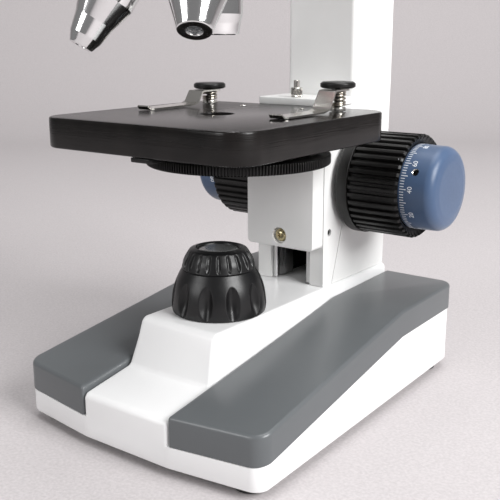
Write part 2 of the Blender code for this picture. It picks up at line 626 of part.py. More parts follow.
def make_objective(name, turn, length, steps):
    """A tubular objective: outside (distance from its seat, radius) points down to the tip."""
    way = objective_direction(turn)
    outside = [(radius, -(SEAT_DISTANCE + distance)) for distance, radius in steps]
    start, end = -SEAT_DISTANCE, -(SEAT_DISTANCE + length)
    tip = steps[-1][1]
    inside = [(tip * 0.45, end), (tip * 0.45, end + 2), (5.0, end + 8), (5.0, start)]
    turned(name, [(10.0, start)] + outside + inside, "chrome", APEX, -way, 20, True)


def make_objectives():
    make_objective("objective_4x", 0, 27.0, [(3.6, 10.0), (4.4, 9.6), (20, 9.6), (23, 8.8), (27.0, 8.2)])
    make_objective("objective_10x", 120, 38.0, [(3.6, 10.0), (4.4, 9.6), (25, 9.6), (33, 7.0), (38.0, 5.4)])
    make_objective("objective_40x", 240, 43.5,
                   [(3.6, 10.0), (4.4, 9.6), (26, 9.6), (34, 6.8), (40, 5.6), (43.5, 4.0)])


def make_head():
    lean = Vector((0, math.sin(TUBE_TILT), math.cos(TUBE_TILT)))
    skirt = [(0, 152), (9, 151), (16, 147.5), (20.5, 141), (22.5, 133), (22.5, ARM_HEAD_TOP + GAP),
             (18.6, ARM_HEAD_TOP + GAP), (18.6, 107), (0, 107)]
    head = turned("head_body", skirt, "white_paint", OPTICS, steps=28)
    boolean(head, rod("tube", TUBE_RADIUS, 0, TUBE_LENGTH, None, HEAD_CENTRE, lean, 24), "UNION")
    boolean(head, rod("tube_bore", TUBE_BORE, 0, TUBE_LENGTH + 5, None, HEAD_CENTRE, lean, 20))
    boolean(head, rod("head_bore", 9.5, 100, 146, None, OPTICS, sides=24))

    slab("head_prism", [(-7.5, 131.5), (4.0, 131.5), (-7.5, 143)], -6, 6, "X", "glass")

    outside = [(13.0, 88), (15.6, 86.6), (15.9, 78), (15.9, 66), (14.8, TUBE_LENGTH + GAP),
               (11.3, TUBE_LENGTH + GAP), (11.3, 34), (9.9, 34), (9.9, 84.0), (11.6, 86.0), (13.0, 86.0)]
    turned("eyepiece_barrel", outside, "black_plastic", HEAD_CENTRE, lean, 24, True)
    lens = [(0, 83.4), (6, 82.6), (9.5, 81.0), (9.5, 78.5), (0, 78.5)]
    turned("eyepiece_lens", lens, "glass", HEAD_CENTRE, lean, 20)

    lock = [(0, 34.5), (5.0, 34.5), (5.8, 33.6), (5.8, 27.0), (5.0, 25.9), (1.9, 25.9), (1.9, 19.2), (0, 19.2)]
    turned("head_lock_screw", lock, "black_plastic", (0, OPTICS.y, 112.5), (1, 0, 0), 16)


make_base_housing()
make_side_cover(-1)
make_side_cover(1)
make_base_underside()
make_power()
make_lamp()
make_arm()
make_focus_drive()
make_slide_and_bracket()
make_stage()
make_diaphragm()
make_clip(-1)
make_clip(1)
make_nosepiece()
make_objectives()
make_head()
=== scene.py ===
import json
import math

import bmesh
import bpy
from mathutils import Matrix, Vector


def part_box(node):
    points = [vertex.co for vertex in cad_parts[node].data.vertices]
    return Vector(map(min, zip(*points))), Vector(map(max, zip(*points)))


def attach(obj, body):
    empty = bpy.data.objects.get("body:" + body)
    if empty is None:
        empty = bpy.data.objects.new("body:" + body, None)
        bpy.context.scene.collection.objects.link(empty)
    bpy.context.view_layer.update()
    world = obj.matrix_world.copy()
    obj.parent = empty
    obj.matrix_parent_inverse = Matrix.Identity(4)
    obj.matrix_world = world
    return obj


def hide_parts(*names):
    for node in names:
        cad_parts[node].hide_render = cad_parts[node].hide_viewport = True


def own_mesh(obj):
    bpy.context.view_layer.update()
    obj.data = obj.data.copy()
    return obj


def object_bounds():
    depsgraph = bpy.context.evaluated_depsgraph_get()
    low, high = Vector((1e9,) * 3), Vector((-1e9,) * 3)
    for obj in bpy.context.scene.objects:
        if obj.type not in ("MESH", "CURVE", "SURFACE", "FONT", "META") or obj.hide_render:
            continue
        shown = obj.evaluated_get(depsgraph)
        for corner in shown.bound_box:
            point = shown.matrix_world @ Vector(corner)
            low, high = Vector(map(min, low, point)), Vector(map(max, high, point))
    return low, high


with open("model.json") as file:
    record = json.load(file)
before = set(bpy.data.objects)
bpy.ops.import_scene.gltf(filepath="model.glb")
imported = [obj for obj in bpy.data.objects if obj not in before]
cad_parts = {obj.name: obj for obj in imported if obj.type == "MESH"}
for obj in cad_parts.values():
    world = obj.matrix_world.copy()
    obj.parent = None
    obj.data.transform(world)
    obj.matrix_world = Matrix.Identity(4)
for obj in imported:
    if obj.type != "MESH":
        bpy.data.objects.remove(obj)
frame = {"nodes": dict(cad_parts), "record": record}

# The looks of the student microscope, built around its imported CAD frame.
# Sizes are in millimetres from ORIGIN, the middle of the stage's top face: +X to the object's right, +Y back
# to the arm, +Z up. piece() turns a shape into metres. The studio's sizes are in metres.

CAD_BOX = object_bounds()
MM = 0.001
UP = Vector((0, 0, 1))
SIDES = ((-1, "left"), (1, "right"))
ROUND_STEPS = 128
STAGE_OFFSET = 0.2


def stage_centre():
    """The point midway between the stage's sides, STAGE_OFFSET behind its middle, on its top face."""
    low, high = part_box("stage_plate")
    return Vector(((low.x + high.x) / 2, (low.y + high.y) / 2 + STAGE_OFFSET * MM, high.z))


ORIGIN = stage_centre()


def near(node):
    """A CAD node's lowest and highest corners, in millimetres from ORIGIN."""
    low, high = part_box(node)
    return (low - ORIGIN) / MM, (high - ORIGIN) / MM


def middle(node):
    low, high = near(node)
    return (low + high) / 2


# Places and sizes read from the frame
BASE_LOW, BASE_HIGH = near("base_housing")
ARM_LOW = near("arm")[0]
BRACKET_LOW, BRACKET_HIGH = near("stage_bracket")
LAMP_LOW, LAMP_HIGH = near("lamp_housing")
CAP_LOW, CAP_HIGH = near("lamp_cap")
DRIVE = middle("coarse_shaft")
KNOB_LOW, KNOB_HIGH = near("coarse_knob_right")
FINE_LOW, FINE_HIGH = near("fine_knob_right")
ARM_HALF = BRACKET_HIGH.x + 0.1
COARSE_RADIUS = (KNOB_HIGH.z - KNOB_LOW.z) / 2
FINE_RADIUS = (FINE_HIGH.z - FINE_LOW.z) / 2
FLANGE_RADIUS = near("knob_flange_right")[1].z - DRIVE.z
CLIP_PLACES = {word: middle(f"clip_post_{word}") for _, word in SIDES}
OPTICS = Vector((0, middle("lamp_housing").y, 0))

# The base's plan, the covers' slope and the saddle that carries the arm
COVER_TOP = near("side_cover_right")[1].z
COVER_BREAK_Y = 47.6
COVER_SLOPE = 0.154
COVER_DEPTH = 10.5
COVER_OVERHANG = 0.8
BASE_HALF = 52.7
BASE_TAPER = 0.035
FRONT_SWEEP = 4.5
SPINE_FRONT_HALF, SPINE_REAR_HALF = 19.7, 17.1
SPINE_FOOT = -107.0
SPINE_FOLD = -93.0
SADDLE_HALF = 17.7
SADDLE_FRONT = -25.0
SADDLE_TOP = BASE_HIGH.z
BASE_SCREWS = ((-31, -40), (31, -40), (-31, 86), (31, 86))
BASE_CORNER = 5.0

# The guide block: its front, its slot, its side screws and the stop's screw
RAIL_FRONT = 45.2
SLOT_HALF = 9.8
GUIDE_SCREW = Vector((0, 49.6, -50.7))
STOP_SCREW = Vector((0, 49.0, 0))

# The fine knob's dial: its divisions, and the number that stands at the index line
DIVISIONS = 200
INDEX_NUMBER = 58.5

# The turret and the head: APEX is where the objectives' axes meet
APEX = OPTICS + Vector((0, 0, 102.2))
TURRET_TILT = math.radians(18)
TURRET_AXIS = Vector((0, -math.sin(TURRET_TILT), -math.cos(TURRET_TILT)))
OBJECTIVE_SEAT = 48.0
LOCK_SCREW = OPTICS + Vector((0, 0, 112.5))
HEAD_CENTRE = OPTICS + Vector((0, 0, 141.0))
HEAD_LEAN = math.radians(45)
HEAD_AXIS = Vector((0, math.sin(HEAD_LEAN), math.cos(HEAD_LEAN)))


# ---- materials

def fill(node, **values):
    """Sets a node's inputs by name, with _ for each space."""
    for name, value in values.items():
        node.inputs[name.replace("_", " ")].default_value = value


def noise(tree, where, scale, detail=4.0):
    node = tree.nodes.new("ShaderNodeTexNoise")
    fill(node, Scale=scale, Detail=detail, Roughness=0.55)
    tree.links.new(where, node.inputs["Vector"])
    return node.outputs["Fac"]


def spread(tree, value, low, high, start=0.3, end=0.7):
    """Maps a 0-1 pattern to the range low to high."""
    node = tree.nodes.new("ShaderNodeMapRange")
    fill(node, From_Min=start, From_Max=end, To_Min=low, To_Max=high)
    tree.links.new(value, node.inputs["Value"])
    return node.outputs["Result"]


def material(name, colour, roughness, metallic=0.0, tint=0.05, tint_scale=45, rough_spread=0.05,
             grain=900, bump=0.08, depth=0.05, stretch=(1, 1, 1), coat=0.0, sheen=0.0, specular=0.5,
             transmission=0.0):
    """A Principled material with mottled colour, varied roughness, and grain that can be stretched."""
    made = bpy.data.materials.new(name)
    made.use_nodes = True
    tree = made.node_tree
    new, link = tree.nodes.new, tree.links.new
    shader = tree.nodes["Principled BSDF"]
    place = new("ShaderNodeTexCoord").outputs["Object"]
    mapping = new("ShaderNodeMapping")
    fill(mapping, Scale=stretch)
    link(place, mapping.inputs["Vector"])
    stretched = mapping.outputs["Vector"]

    blotches = noise(tree, place, tint_scale)
    mix = new("ShaderNodeMix")
    mix.data_type = "RGBA"
    fill(mix, A=(*[c * (1 - tint) for c in colour], 1), B=(*[min(1.0, c * (1 + tint)) for c in colour], 1))
    link(spread(tree, blotches, 0, 1), mix.inputs["Factor"])
    link(mix.outputs["Result"], shader.inputs["Base Color"])

    fine = noise(tree, stretched, grain, detail=1.5)
    rough = spread(tree, noise(tree, stretched, grain * 0.2, detail=1.0), max(0.02, roughness - rough_spread),
                   min(1.0, roughness + rough_spread), 0.2, 0.8)
    link(rough, shader.inputs["Roughness"])
    relief = new("ShaderNodeBump")
    fill(relief, Strength=bump, Distance=depth * MM)
    link(fine, relief.inputs["Height"])
    link(relief.outputs["Normal"], shader.inputs["Normal"])

    fill(shader, Metallic=metallic, Specular_IOR_Level=specular, Coat_Weight=coat, Coat_Roughness=0.12,
         Sheen_Weight=sheen, Transmission_Weight=transmission, IOR=1.5)
    MATERIALS[name] = made
    return made


def make_materials():
    """The finishes."""
    material("white_paint", (0.80, 0.80, 0.79), 0.36, tint=0.02, grain=1400, bump=0.12, coat=0.15)
    material("white_plastic", (0.82, 0.82, 0.82), 0.33, tint=0.015, grain=1800, coat=0.1)
    material("grey_plastic", (0.105, 0.113, 0.118), 0.30, tint_scale=25, grain=2200, bump=0.05,
             depth=0.02, rough_spread=0.0)
    material("black_plastic", (0.0065, 0.0062, 0.006), 0.34, tint=0.2, grain=3000, bump=0.1, depth=0.03,
             specular=0.32)
    material("lamp_black", (0.006, 0.006, 0.0064), 0.33, tint=0.2, tint_scale=60, grain=5200, bump=0.06,
             depth=0.02, rough_spread=0.03, specular=0.38)
    material("stage_black", (0.0062, 0.0052, 0.0048), 0.23, tint=0.5, tint_scale=90, bump=0.9,
             depth=0.06, stretch=(0.07, 0.07, 1.8), rough_spread=0.12, specular=0.27)
    material("blue_rubber", (0.052, 0.092, 0.175), 0.36, tint=0.08, tint_scale=60, grain=3500, bump=0.1,
             depth=0.02, sheen=0.18, specular=0.4)
    material("steel", (0.55, 0.55, 0.55), 0.3, 1.0, bump=0.15, stretch=(1, 1, 0.04))
    material("nickel", (0.70, 0.68, 0.64), 0.2, 1.0, tint=0.08, grain=1500, bump=0.1, depth=0.02,
             stretch=(0.1, 1, 1))
    material("spring_wire", (0.66, 0.61, 0.54), 0.22, 1.0, tint=0.12, grain=2000, bump=0.1, depth=0.02)
    material("dark_steel", (0.10, 0.095, 0.09), 0.4, 1.0, tint=0.15, grain=1500, bump=0.15)
    material("brass", (0.58, 0.50, 0.30), 0.28, 1.0, tint=0.12, tint_scale=400, grain=1800, bump=0.15,
             depth=0.03)
    material("chrome", (0.78, 0.78, 0.78), 0.11, 1.0, tint=0.03, grain=1200, bump=0.05, depth=0.02,
             rough_spread=0.03)
    material("optical_glass", (0.85, 0.9, 0.93), 0.04, tint=0.02, bump=0.01, rough_spread=0.01,
             transmission=0.9, coat=0.3)
    material("diffuser", (0.085, 0.088, 0.086), 0.3, tint=0.12, tint_scale=140, grain=2600, bump=0.1,
             depth=0.02, coat=0.6, transmission=0.15)
    material("foot_rubber", (0.02, 0.02, 0.02), 0.75, tint=0.2, grain=2000, bump=0.4)
    material("circuit_board", (0.03, 0.16, 0.06), 0.35, tint=0.15, tint_scale=250, coat=0.3)
    material("battery", (0.12, 0.2, 0.12), 0.3, tint=0.15, coat=0.3)
    material("printing", (0.80, 0.83, 0.87), 0.5, tint=0.04, grain=2500, bump=0.1)
    material("groove_dark", (0.006, 0.006, 0.006), 0.7, tint=0.3, bump=0.2)
    rings = {"red": (0.45, 0.02, 0.02), "yellow": (0.65, 0.42, 0.03), "blue": (0.03, 0.12, 0.5)}
    for name, colour in rings.items():
        material(f"{name}_ring", colour, 0.3, tint=0.06, coat=0.3)


MATERIALS = {}
make_materials()


# ---- shapes

def to_mesh(name, shape):
    """A mesh made from a bmesh, which is used up."""
    mesh = bpy.data.meshes.new(name)
    shape.to_mesh(mesh)
    shape.free()
    return mesh


def face_outward(shape):
    bmesh.ops.recalc_face_normals(shape, faces=shape.faces)


def add_object(name, data):
    item = bpy.data.objects.new(name, data)
    bpy.context.scene.collection.objects.link(item)
    return item


def piece(name, shape, finish, body, replaces=(), angle=32):
    """A bmesh in millimetres becomes an object that rides a body."""
    face_outward(shape)
    into_frame = Matrix.Translation(ORIGIN) @ Matrix.Scale(MM, 4)
    bmesh.ops.transform(shape, matrix=into_frame, verts=shape.verts)
    mesh = to_mesh(name, shape)
    mesh.materials.append(MATERIALS[finish])
    mesh.shade_smooth()
    mesh.set_sharp_from_angle(angle=math.radians(angle))
    item = add_object(name, mesh)
    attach(item, body)
    if replaces:
        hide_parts(*replaces)
    return item


def rounded(corners, closed=True, count=5):
    """The points of an outline whose corners are (x, y, radius of the corner's arc)."""
    points = []
    for i, (x, y, radius) in enumerate(corners):
        at_end = not closed and i in (0, len(corners) - 1)
        if radius == 0 or at_end:
            points.append((x, y))
            continue
        here = Vector((x, y))
        before = (Vector(corners[i - 1][:2]) - here).normalized()
        after = (Vector(corners[(i + 1) % len(corners)][:2]) - here).normalized()
        half = before.angle(after) / 2
        centre = here + (before + after).normalized() * radius / math.sin(half)
        reach = radius / math.tan(half)
        start, end = here + before * reach - centre, here + after * reach - centre
        first = math.atan2(start.y, start.x)
        sweep = (math.atan2(end.y, end.x) - first + math.pi) % math.tau - math.pi
        for k in range(count + 1):
            turn = first + sweep * k / count
            points.append((centre.x + radius * math.cos(turn), centre.y + radius * math.sin(turn)))
    return points


def loft(rings, closed=False):
    """Faces between rings of equally many points, capped unless closed."""
    shape = bmesh.new()
    rows = [[shape.verts.new(p) for p in ring] for ring in rings]
    pairs = list(zip(rows, rows[1:])) + ([(rows[-1], rows[0])] if closed else [])
    for one, two in pairs:
        for i in range(len(one)):
            j = (i + 1) % len(one)
            shape.faces.new((one[i], one[j], two[j], two[i]))
    if not closed:
        shape.faces.new(rows[0])
        shape.faces.new(rows[-1])
    return shape


def prism(outline, low, high, along="Z"):
    """An outline extruded along X (outline is y, z), Y (x, z) or Z (x, y)."""
    put = {
        "X": lambda u, v, w: (w, u, v),
        "Y": lambda u, v, w: (u, w, v),
        "Z": lambda u, v, w: (u, v, w),
    }[along]
    return loft([[put(u, v, w) for u, v in outline] for w in (low, high)])


def rounded_box(low, high, radius, count=5):
    """The outline of a rectangle between two corners (x, y), each corner rounded."""
    return rounded([(low[0], low[1], radius), (high[0], low[1], radius), (high[0], high[1], radius),
                    (low[0], high[1], radius)], count=count)


def box(low, high):
    return prism(rounded_box(low, high, 0), low[2], high[2])


def revolve(profile, steps=ROUND_STEPS, reshape=None, closed=False):
    """A profile of (radius, height) points turned about Z. reshape(r, h, angle) may move each point."""
    shape = bmesh.new()
    rows = []
    for radius, height in profile:
        if radius < 1e-6:
            rows.append([shape.verts.new((0, 0, height))])
            continue
        row = []
        for i in range(steps):
            turn = math.tau * i / steps
            r, h = reshape(radius, height, turn) if reshape else (radius, height)
            row.append(shape.verts.new((r * math.cos(turn), r * math.sin(turn), h)))
        rows.append(row)
    pairs = list(zip(rows, rows[1:])) + ([(rows[-1], rows[0])] if closed else [])
    for one, two in pairs:
        if len(one) == len(two) == 1:
            continue
        for i in range(steps):
            j = (i + 1) % steps
            ends = [one[i % len(one)], one[j % len(one)], two[j % len(two)], two[i % len(two)]]
            shape.faces.new(list(dict.fromkeys(ends)))
    return shape


def turned(corners, steps=ROUND_STEPS, count=5):
    """A solid turned about Z from (radius, height, radius of the corner's arc)."""
    return revolve(rounded(corners, closed=False, count=count), steps)


def knurl(low, high, inner, depth, teeth, power=1):
    """A reshape() that cuts rounded teeth between two heights, outside the radius inner."""
    def reshape(r, h, turn):
        if low < h < high and r > inner:
            return r - depth * (0.5 - 0.5 * math.cos(turn * teeth)) ** power, h
        return r, h
    return reshape


def hollows(count, first, centre, half_width, half_height, power, depth, inner, low, high):
    """A reshape() that presses in a ring of hollows, their middles at the height centre."""
    pitch = math.tau / count

    def reshape(r, h, turn):
        if r < inner or not low < h < high:
            return r, h
        across = ((turn - first + pitch / 2) % pitch - pitch / 2) * r / half_width
        up = abs(h - centre) / half_height
        return r - depth * max(0.0, 1 - across * across - up ** power), h
    return reshape


def rod(radius, low, high, steps=48):
    return revolve([(0, high), (radius, high), (radius, low), (0, low)], steps)


def aim(shape, place=(0, 0, 0), direction=(0, 0, 1), twist=0.0):
    """Turns a shape's +Z to a direction and moves its origin to a place."""
    turn = UP.rotation_difference(Vector(direction)).to_matrix().to_4x4()
    matrix = Matrix.Translation(place) @ turn @ Matrix.Rotation(twist, 4, "Z")
    bmesh.ops.transform(shape, matrix=matrix, verts=shape.verts)
    return shape


def rod_at(radius, low, high, place, steps=48):
    return aim(rod(radius, low, high, steps), place)


def round_edges(shape, width, segments=3, angle=35, where=None):
    """Rounds the edges whose faces meet at more than an angle, and which where() picks."""
    face_outward(shape)
    limit = math.radians(angle)
    edges = [e for e in shape.edges
             if len(e.link_faces) == 2 and e.calc_face_angle(0) > limit and (where is None or where(e))]
    bmesh.ops.bevel(shape, geom=edges, offset=width, offset_type="OFFSET", segments=segments, profile=0.5,
                    affect="EDGES", clamp_overlap=True)
    return shape


def resample(points, step):
    """Points on the same line, no further apart than step."""
    out = [points[0]]
    for a, b in zip(points, points[1:]):
        count = max(1, math.ceil(math.dist(a, b) / step))
        out += [(a[0] + (b[0] - a[0]) * k / count, a[1] + (b[1] - a[1]) * k / count)
                for k in range(1, count + 1)]
    return out


def combine(shape, other, operation="DIFFERENCE"):
    """The Boolean of two closed shapes."""
    items = []
    for each in (shape, other):
        face_outward(each)
        items.append(add_object("work", to_mesh("work", each)))
    step = items[0].modifiers.new("work", "BOOLEAN")
    step.operation = operation
    step.solver = "EXACT"
    step.object = items[1]
    evaluated = items[0].evaluated_get(bpy.context.evaluated_depsgraph_get())
    result = bmesh.new()
    result.from_mesh(evaluated.data)
    for item in items:
        mesh = item.data
        bpy.data.objects.remove(item)
        bpy.data.meshes.remove(mesh)
    return result


def cut(shape, *cutters):
    """A shape less each cutter in turn."""
    for cutter in cutters:
        shape = combine(shape, cutter)
    return shape


def tube(points, radius):
    """A round wire along 3-D points, with slimmer ends."""
    sides = 10
    path = [Vector(p) for p in points]
    rings = []
    normal = None
    for i, point in enumerate(path):
        along = (path[min(i + 1, len(path) - 1)] - path[max(i - 1, 0)]).normalized()
        if normal is None:
            normal = along.orthogonal().normalized()
        normal = (normal - along * normal.dot(along)).normalized()
        cross = along.cross(normal)
        shrink = 0.6 if i in (0, len(path) - 1) else 1.0
        turns = [math.tau * k / sides for k in range(sides)]
        rings.append([point + (normal * math.cos(turn) + cross * math.sin(turn)) * radius * shrink
                      for turn in turns])
    return loft(rings)


def join(*shapes):
    """Several shapes in one bmesh."""
    whole = shapes[0]
    for other in shapes[1:]:
        mesh = to_mesh("work", other)
        whole.from_mesh(mesh)
        bpy.data.meshes.remove(mesh)
    return whole


# ---- base

def cover_height(y):
    return COVER_TOP - COVER_SLOPE * max(0.0, COVER_BREAK_Y - y)


def base_half(y):
    return BASE_HALF - BASE_TAPER * y


def spine_half(y):
    """The spine's half width at the covers: level at the front, and narrower to the back."""
    share = min(1.0, max(0.0, (y - 30.0) / (BASE_HIGH.y - 30.0)))
    return SPINE_FRONT_HALF + (SPINE_REAR_HALF - SPINE_FRONT_HALF) * share


def wing_plan(inset, inner_gap):
    """One wing's outline, shrunk by inset: inner edge, swept front, outer corners and back."""
    front, rear = BASE_LOW.y, BASE_HIGH.y
    outer_front = front + FRONT_SWEEP
    corner = max(0.5, BASE_CORNER - inset)
    inner = inner_gap + inset
    front_edge = front + inset + COVER_OVERHANG
    corners = [
        (spine_half(rear) + inner, rear - inset - COVER_OVERHANG, 0),
        (spine_half(COVER_BREAK_Y) + inner, COVER_BREAK_Y, 0),
        (spine_half(0) + inner, 0.0, 0),
        (spine_half(front) + inner, front_edge, 0.8),
        (base_half(outer_front) - inset, outer_front + inset + COVER_OVERHANG, corner),
        (base_half(COVER_BREAK_Y) - inset, COVER_BREAK_Y, 0),
        (base_half(rear) - inset, rear - inset - COVER_OVERHANG, corner),
    ]
    return rounded(corners, count=8)


def make_cover(side, word):
    """A wing's cover: a thin shell with a rounded lip all round and a crease across its top."""
    lip, wall, steps = 1.3, 2.0, 5
    spine_gap = COVER_OVERHANG + 0.35
    levels = [(wall, wall + 0.6), (wall, COVER_DEPTH), (0.0, COVER_DEPTH), (0.0, COVER_DEPTH * 0.5)]
    for k in range(steps + 1):
        turn = math.pi / 2 * k / steps
        levels.append((lip * (1 - math.cos(turn)), lip * (1 - math.sin(turn))))
    rings = []
    for inset, drop in levels:
        plan = wing_plan(inset - COVER_OVERHANG, spine_gap)
        rings.append([(side * x, y, cover_height(y) - drop) for x, y in plan])
    shape = loft(rings)
    split_at_crease(shape)
    piece(f"cover_shell_{word}", shape, "grey_plastic", "root", [f"side_cover_{word}"], 25)


def split_at_crease(shape):
    """Cuts the two large caps along the crease, so that each part is flat."""
    for face in [f for f in shape.faces if len(f.verts) > 10]:
        ends = [v for v in face.verts if abs(v.co.y - COVER_BREAK_Y) < 0.01]
        if len(ends) == 2:
            bmesh.utils.face_split(face, *ends)


def make_tray():
    """The low white wall that shows under the covers, and the deck that they stand on."""
    front, rear, bottom = BASE_LOW.y, BASE_HIGH.y, BASE_LOW.z
    outer_front = front + FRONT_SWEEP
    half = [(base_half(outer_front), outer_front, BASE_CORNER), (base_half(COVER_BREAK_Y), COVER_BREAK_Y, 0),
            (base_half(rear), rear, BASE_CORNER)]
    plan = ([(SPINE_FRONT_HALF, front, 20.0)] + half
            + [(-x, y, r) for x, y, r in reversed(half)] + [(-SPINE_FRONT_HALF, front, 20.0)])
    outline = rounded(plan, count=8)

    def shrunk(inset):
        return [(x - math.copysign(inset, x), y - math.copysign(inset, y - 20)) for x, y in outline]

    def level(inset, height):
        return [(x, y, height) for x, y in shrunk(inset)]

    def under_cover(inset, lift=0.0):
        return [(x, y, cover_height(y) - COVER_DEPTH - 0.3 + lift) for x, y in shrunk(inset)]

    tray = loft([level(0.7, bottom), level(0.2, bottom + 0.25), level(0, bottom + 0.8), under_cover(0),
                 under_cover(3.0), level(3.0, bottom)], closed=True)
    deck = loft([under_cover(2.9), under_cover(2.9, 2.5)])
    split_at_crease(deck)
    deck = combine(deck, box((-15.0, front + 5, -130), (15.0, rear - 4, 0)))
    return tray, deck


def spine_line():
    """The spine's side view as (y, z), from its front face's foot over the top to its back's foot."""
    front, rear = BASE_LOW.y, BASE_HIGH.y
    return rounded([(front, SPINE_FOOT, 0), (front, -94.1, 2.6), (-30.6, -90.3, 2.2),
                    (SADDLE_FRONT, SADDLE_TOP, 3.4), (rear, SADDLE_TOP, 2.8), (rear, SPINE_FOOT, 0)],
                   closed=False, count=8)


def spine_top_half(y):
    """The spine's half width along its upper edge: the saddle is drafted, and the front ramp isn't."""
    share = min(1.0, max(0.0, (y + 32.0) / 6.0))
    wide = min(spine_half(y), SADDLE_HALF)
    return spine_half(y) + (wide - spine_half(y)) * share * share * (3 - 2 * share)


def mirrored(line):
    return [(where, -x) for where, x in reversed(line)]


def make_spine():
    """The spine's skin, as rings across it that follow its side view."""
    edge, thick, steps = 1.5, 2.4, 6
    line = [Vector(p) for p in resample(spine_line(), 6.0)]
    lengths = [0.0]
    for one, two in zip(line, line[1:]):
        lengths.append(lengths[-1] + (two - one).length)
    rings = []
    for i, point in enumerate(line):
        along = line[min(i + 1, len(line) - 1)] - line[max(i - 1, 0)]
        inward = Vector((along.y, -along.x)).normalized()
        half = spine_top_half(point.x)
        share = lengths[i] / lengths[-1]
        foot = Vector((BASE_LOW.y + 5 + share * (BASE_HIGH.y - BASE_LOW.y - 10), SPINE_FOOT + 1))
        drop = min(point.y - edge - 0.2, cover_height(point.x) + 0.2)
        low = point + inward * (edge + 0.2)
        if point.y > SPINE_FOLD:
            low.y = drop  # over the ramp and the saddle it follows the covers
        outer = [(foot, spine_half(foot.x) - 0.05), (low, spine_half(low.x))]
        for k in range(steps + 1):
            turn = math.pi / 2 * k / steps
            outer.append((point + inward * edge * (1 - math.sin(turn)), half - edge * (1 - math.cos(turn))))
        inside = point + inward * thick
        inner = [(inside, half - thick), (foot + Vector((0, 1.0)), spine_half(foot.x) - thick)]
        around = outer + mirrored(outer) + mirrored(inner) + inner
        rings.append([(x, where.x, where.y) for where, x in around])
    return combine(loft(rings), rod_at(3.5, -90, -60, OPTICS))


def make_base():
    """The white housing: the tray, and the spine that rises between the two covers."""
    tray, deck = make_tray()
    piece("base_deck", deck, "white_plastic", "root")
    piece("base_shell", combine(tray, make_spine(), "UNION"), "white_plastic", "root", ["base_housing"], 30)


def make_base_fittings():
    """Feet, the screws under the base, and the rear switch."""
    for word in ("front_left", "front_right", "rear_left", "rear_right"):
        low, high = near(f"rubber_foot_{word}")
        radius, deep = (high.x - low.x) / 2, high.z - low.z
        foot = turned([(0, deep, 0), (radius - 0.4, deep, 0.3), (radius, 0.2, 0.5), (radius - 1.8, 0, 0.3),
                       (radius - 2.2, 0.7, 0.3), (0, 0.7, 0)], 64)
        aim(foot, ((low.x + high.x) / 2, (low.y + high.y) / 2, low.z))
        piece(f"foot_{word}", foot, "foot_rubber", "root", [f"rubber_foot_{word}"])
    plate_low = near("base_plate")[0].z
    for index, (x, y) in enumerate(BASE_SCREWS):
        screw = cross_head(2.8, 1.3)
        aim(screw, (x, y, plate_low + 0.9), (0, 0, -1))
        piece(f"base_screw_{index}", screw, "steel", "root")
    make_switch()


def make_switch():
    """The switch's bezel, its rocker and the line on it."""
    low, high = near("switch_frame")
    well_low, well_high = near("rocker_switch")
    bezel = prism(rounded_box((low.x, low.z), (high.x, high.z), 1.6), high.y - 1.2, high.y, "Y")
    bezel = round_edges(bezel, 0.4, 3, 60)
    bezel = cut(bezel, box((well_low.x - 0.35, low.y - 2, well_low.z - 0.4),
                           (well_high.x + 0.35, high.y + 2, well_high.z + 0.4)))
    piece("switch_bezel", bezel, "black_plastic", "root", ["switch_frame"])
    rocker = rounded([(95.2, -102.4, 0.4), (97.5, -102.9, 0.4), (98.4, -102.7, 0.4), (97.8, -99.5, 6.0),
                      (98.4, -96.3, 0.4), (97.5, -96.1, 0.4), (95.2, -96.6, 0.4)])
    rocker = round_edges(prism(rocker, well_low.x, well_high.x, "X"), 0.35, 2, 60)
    piece("switch_rocker", rocker, "black_plastic", "power_rocker", ["rocker_switch"])
    across = middle("rocker_switch").x
    mark = box((across - 0.35, 98.15, -98.2), (across + 0.35, 98.3, -96.9))
    piece("switch_mark", mark, "printing", "power_rocker")


def cross_head(radius, height):
    """A pan head with a cross recess, its top at height."""
    head = turned([(0, height, 0), (radius * 0.55, height, radius * 0.9), (radius, height * 0.35, 0.3),
                   (radius, 0, 0), (0, 0, 0)], 48)
    arm, width = radius * 0.55, radius * 0.11
    for turn in (0, math.pi / 2):
        slot = box((-arm, -width, height * 0.3), (arm, width, height + 1))
        for vert in slot.verts:
            if vert.co.z < height:
                vert.co.x *= 0.45
        head = combine(head, aim(slot, twist=turn))
    return head


# ---- lamp

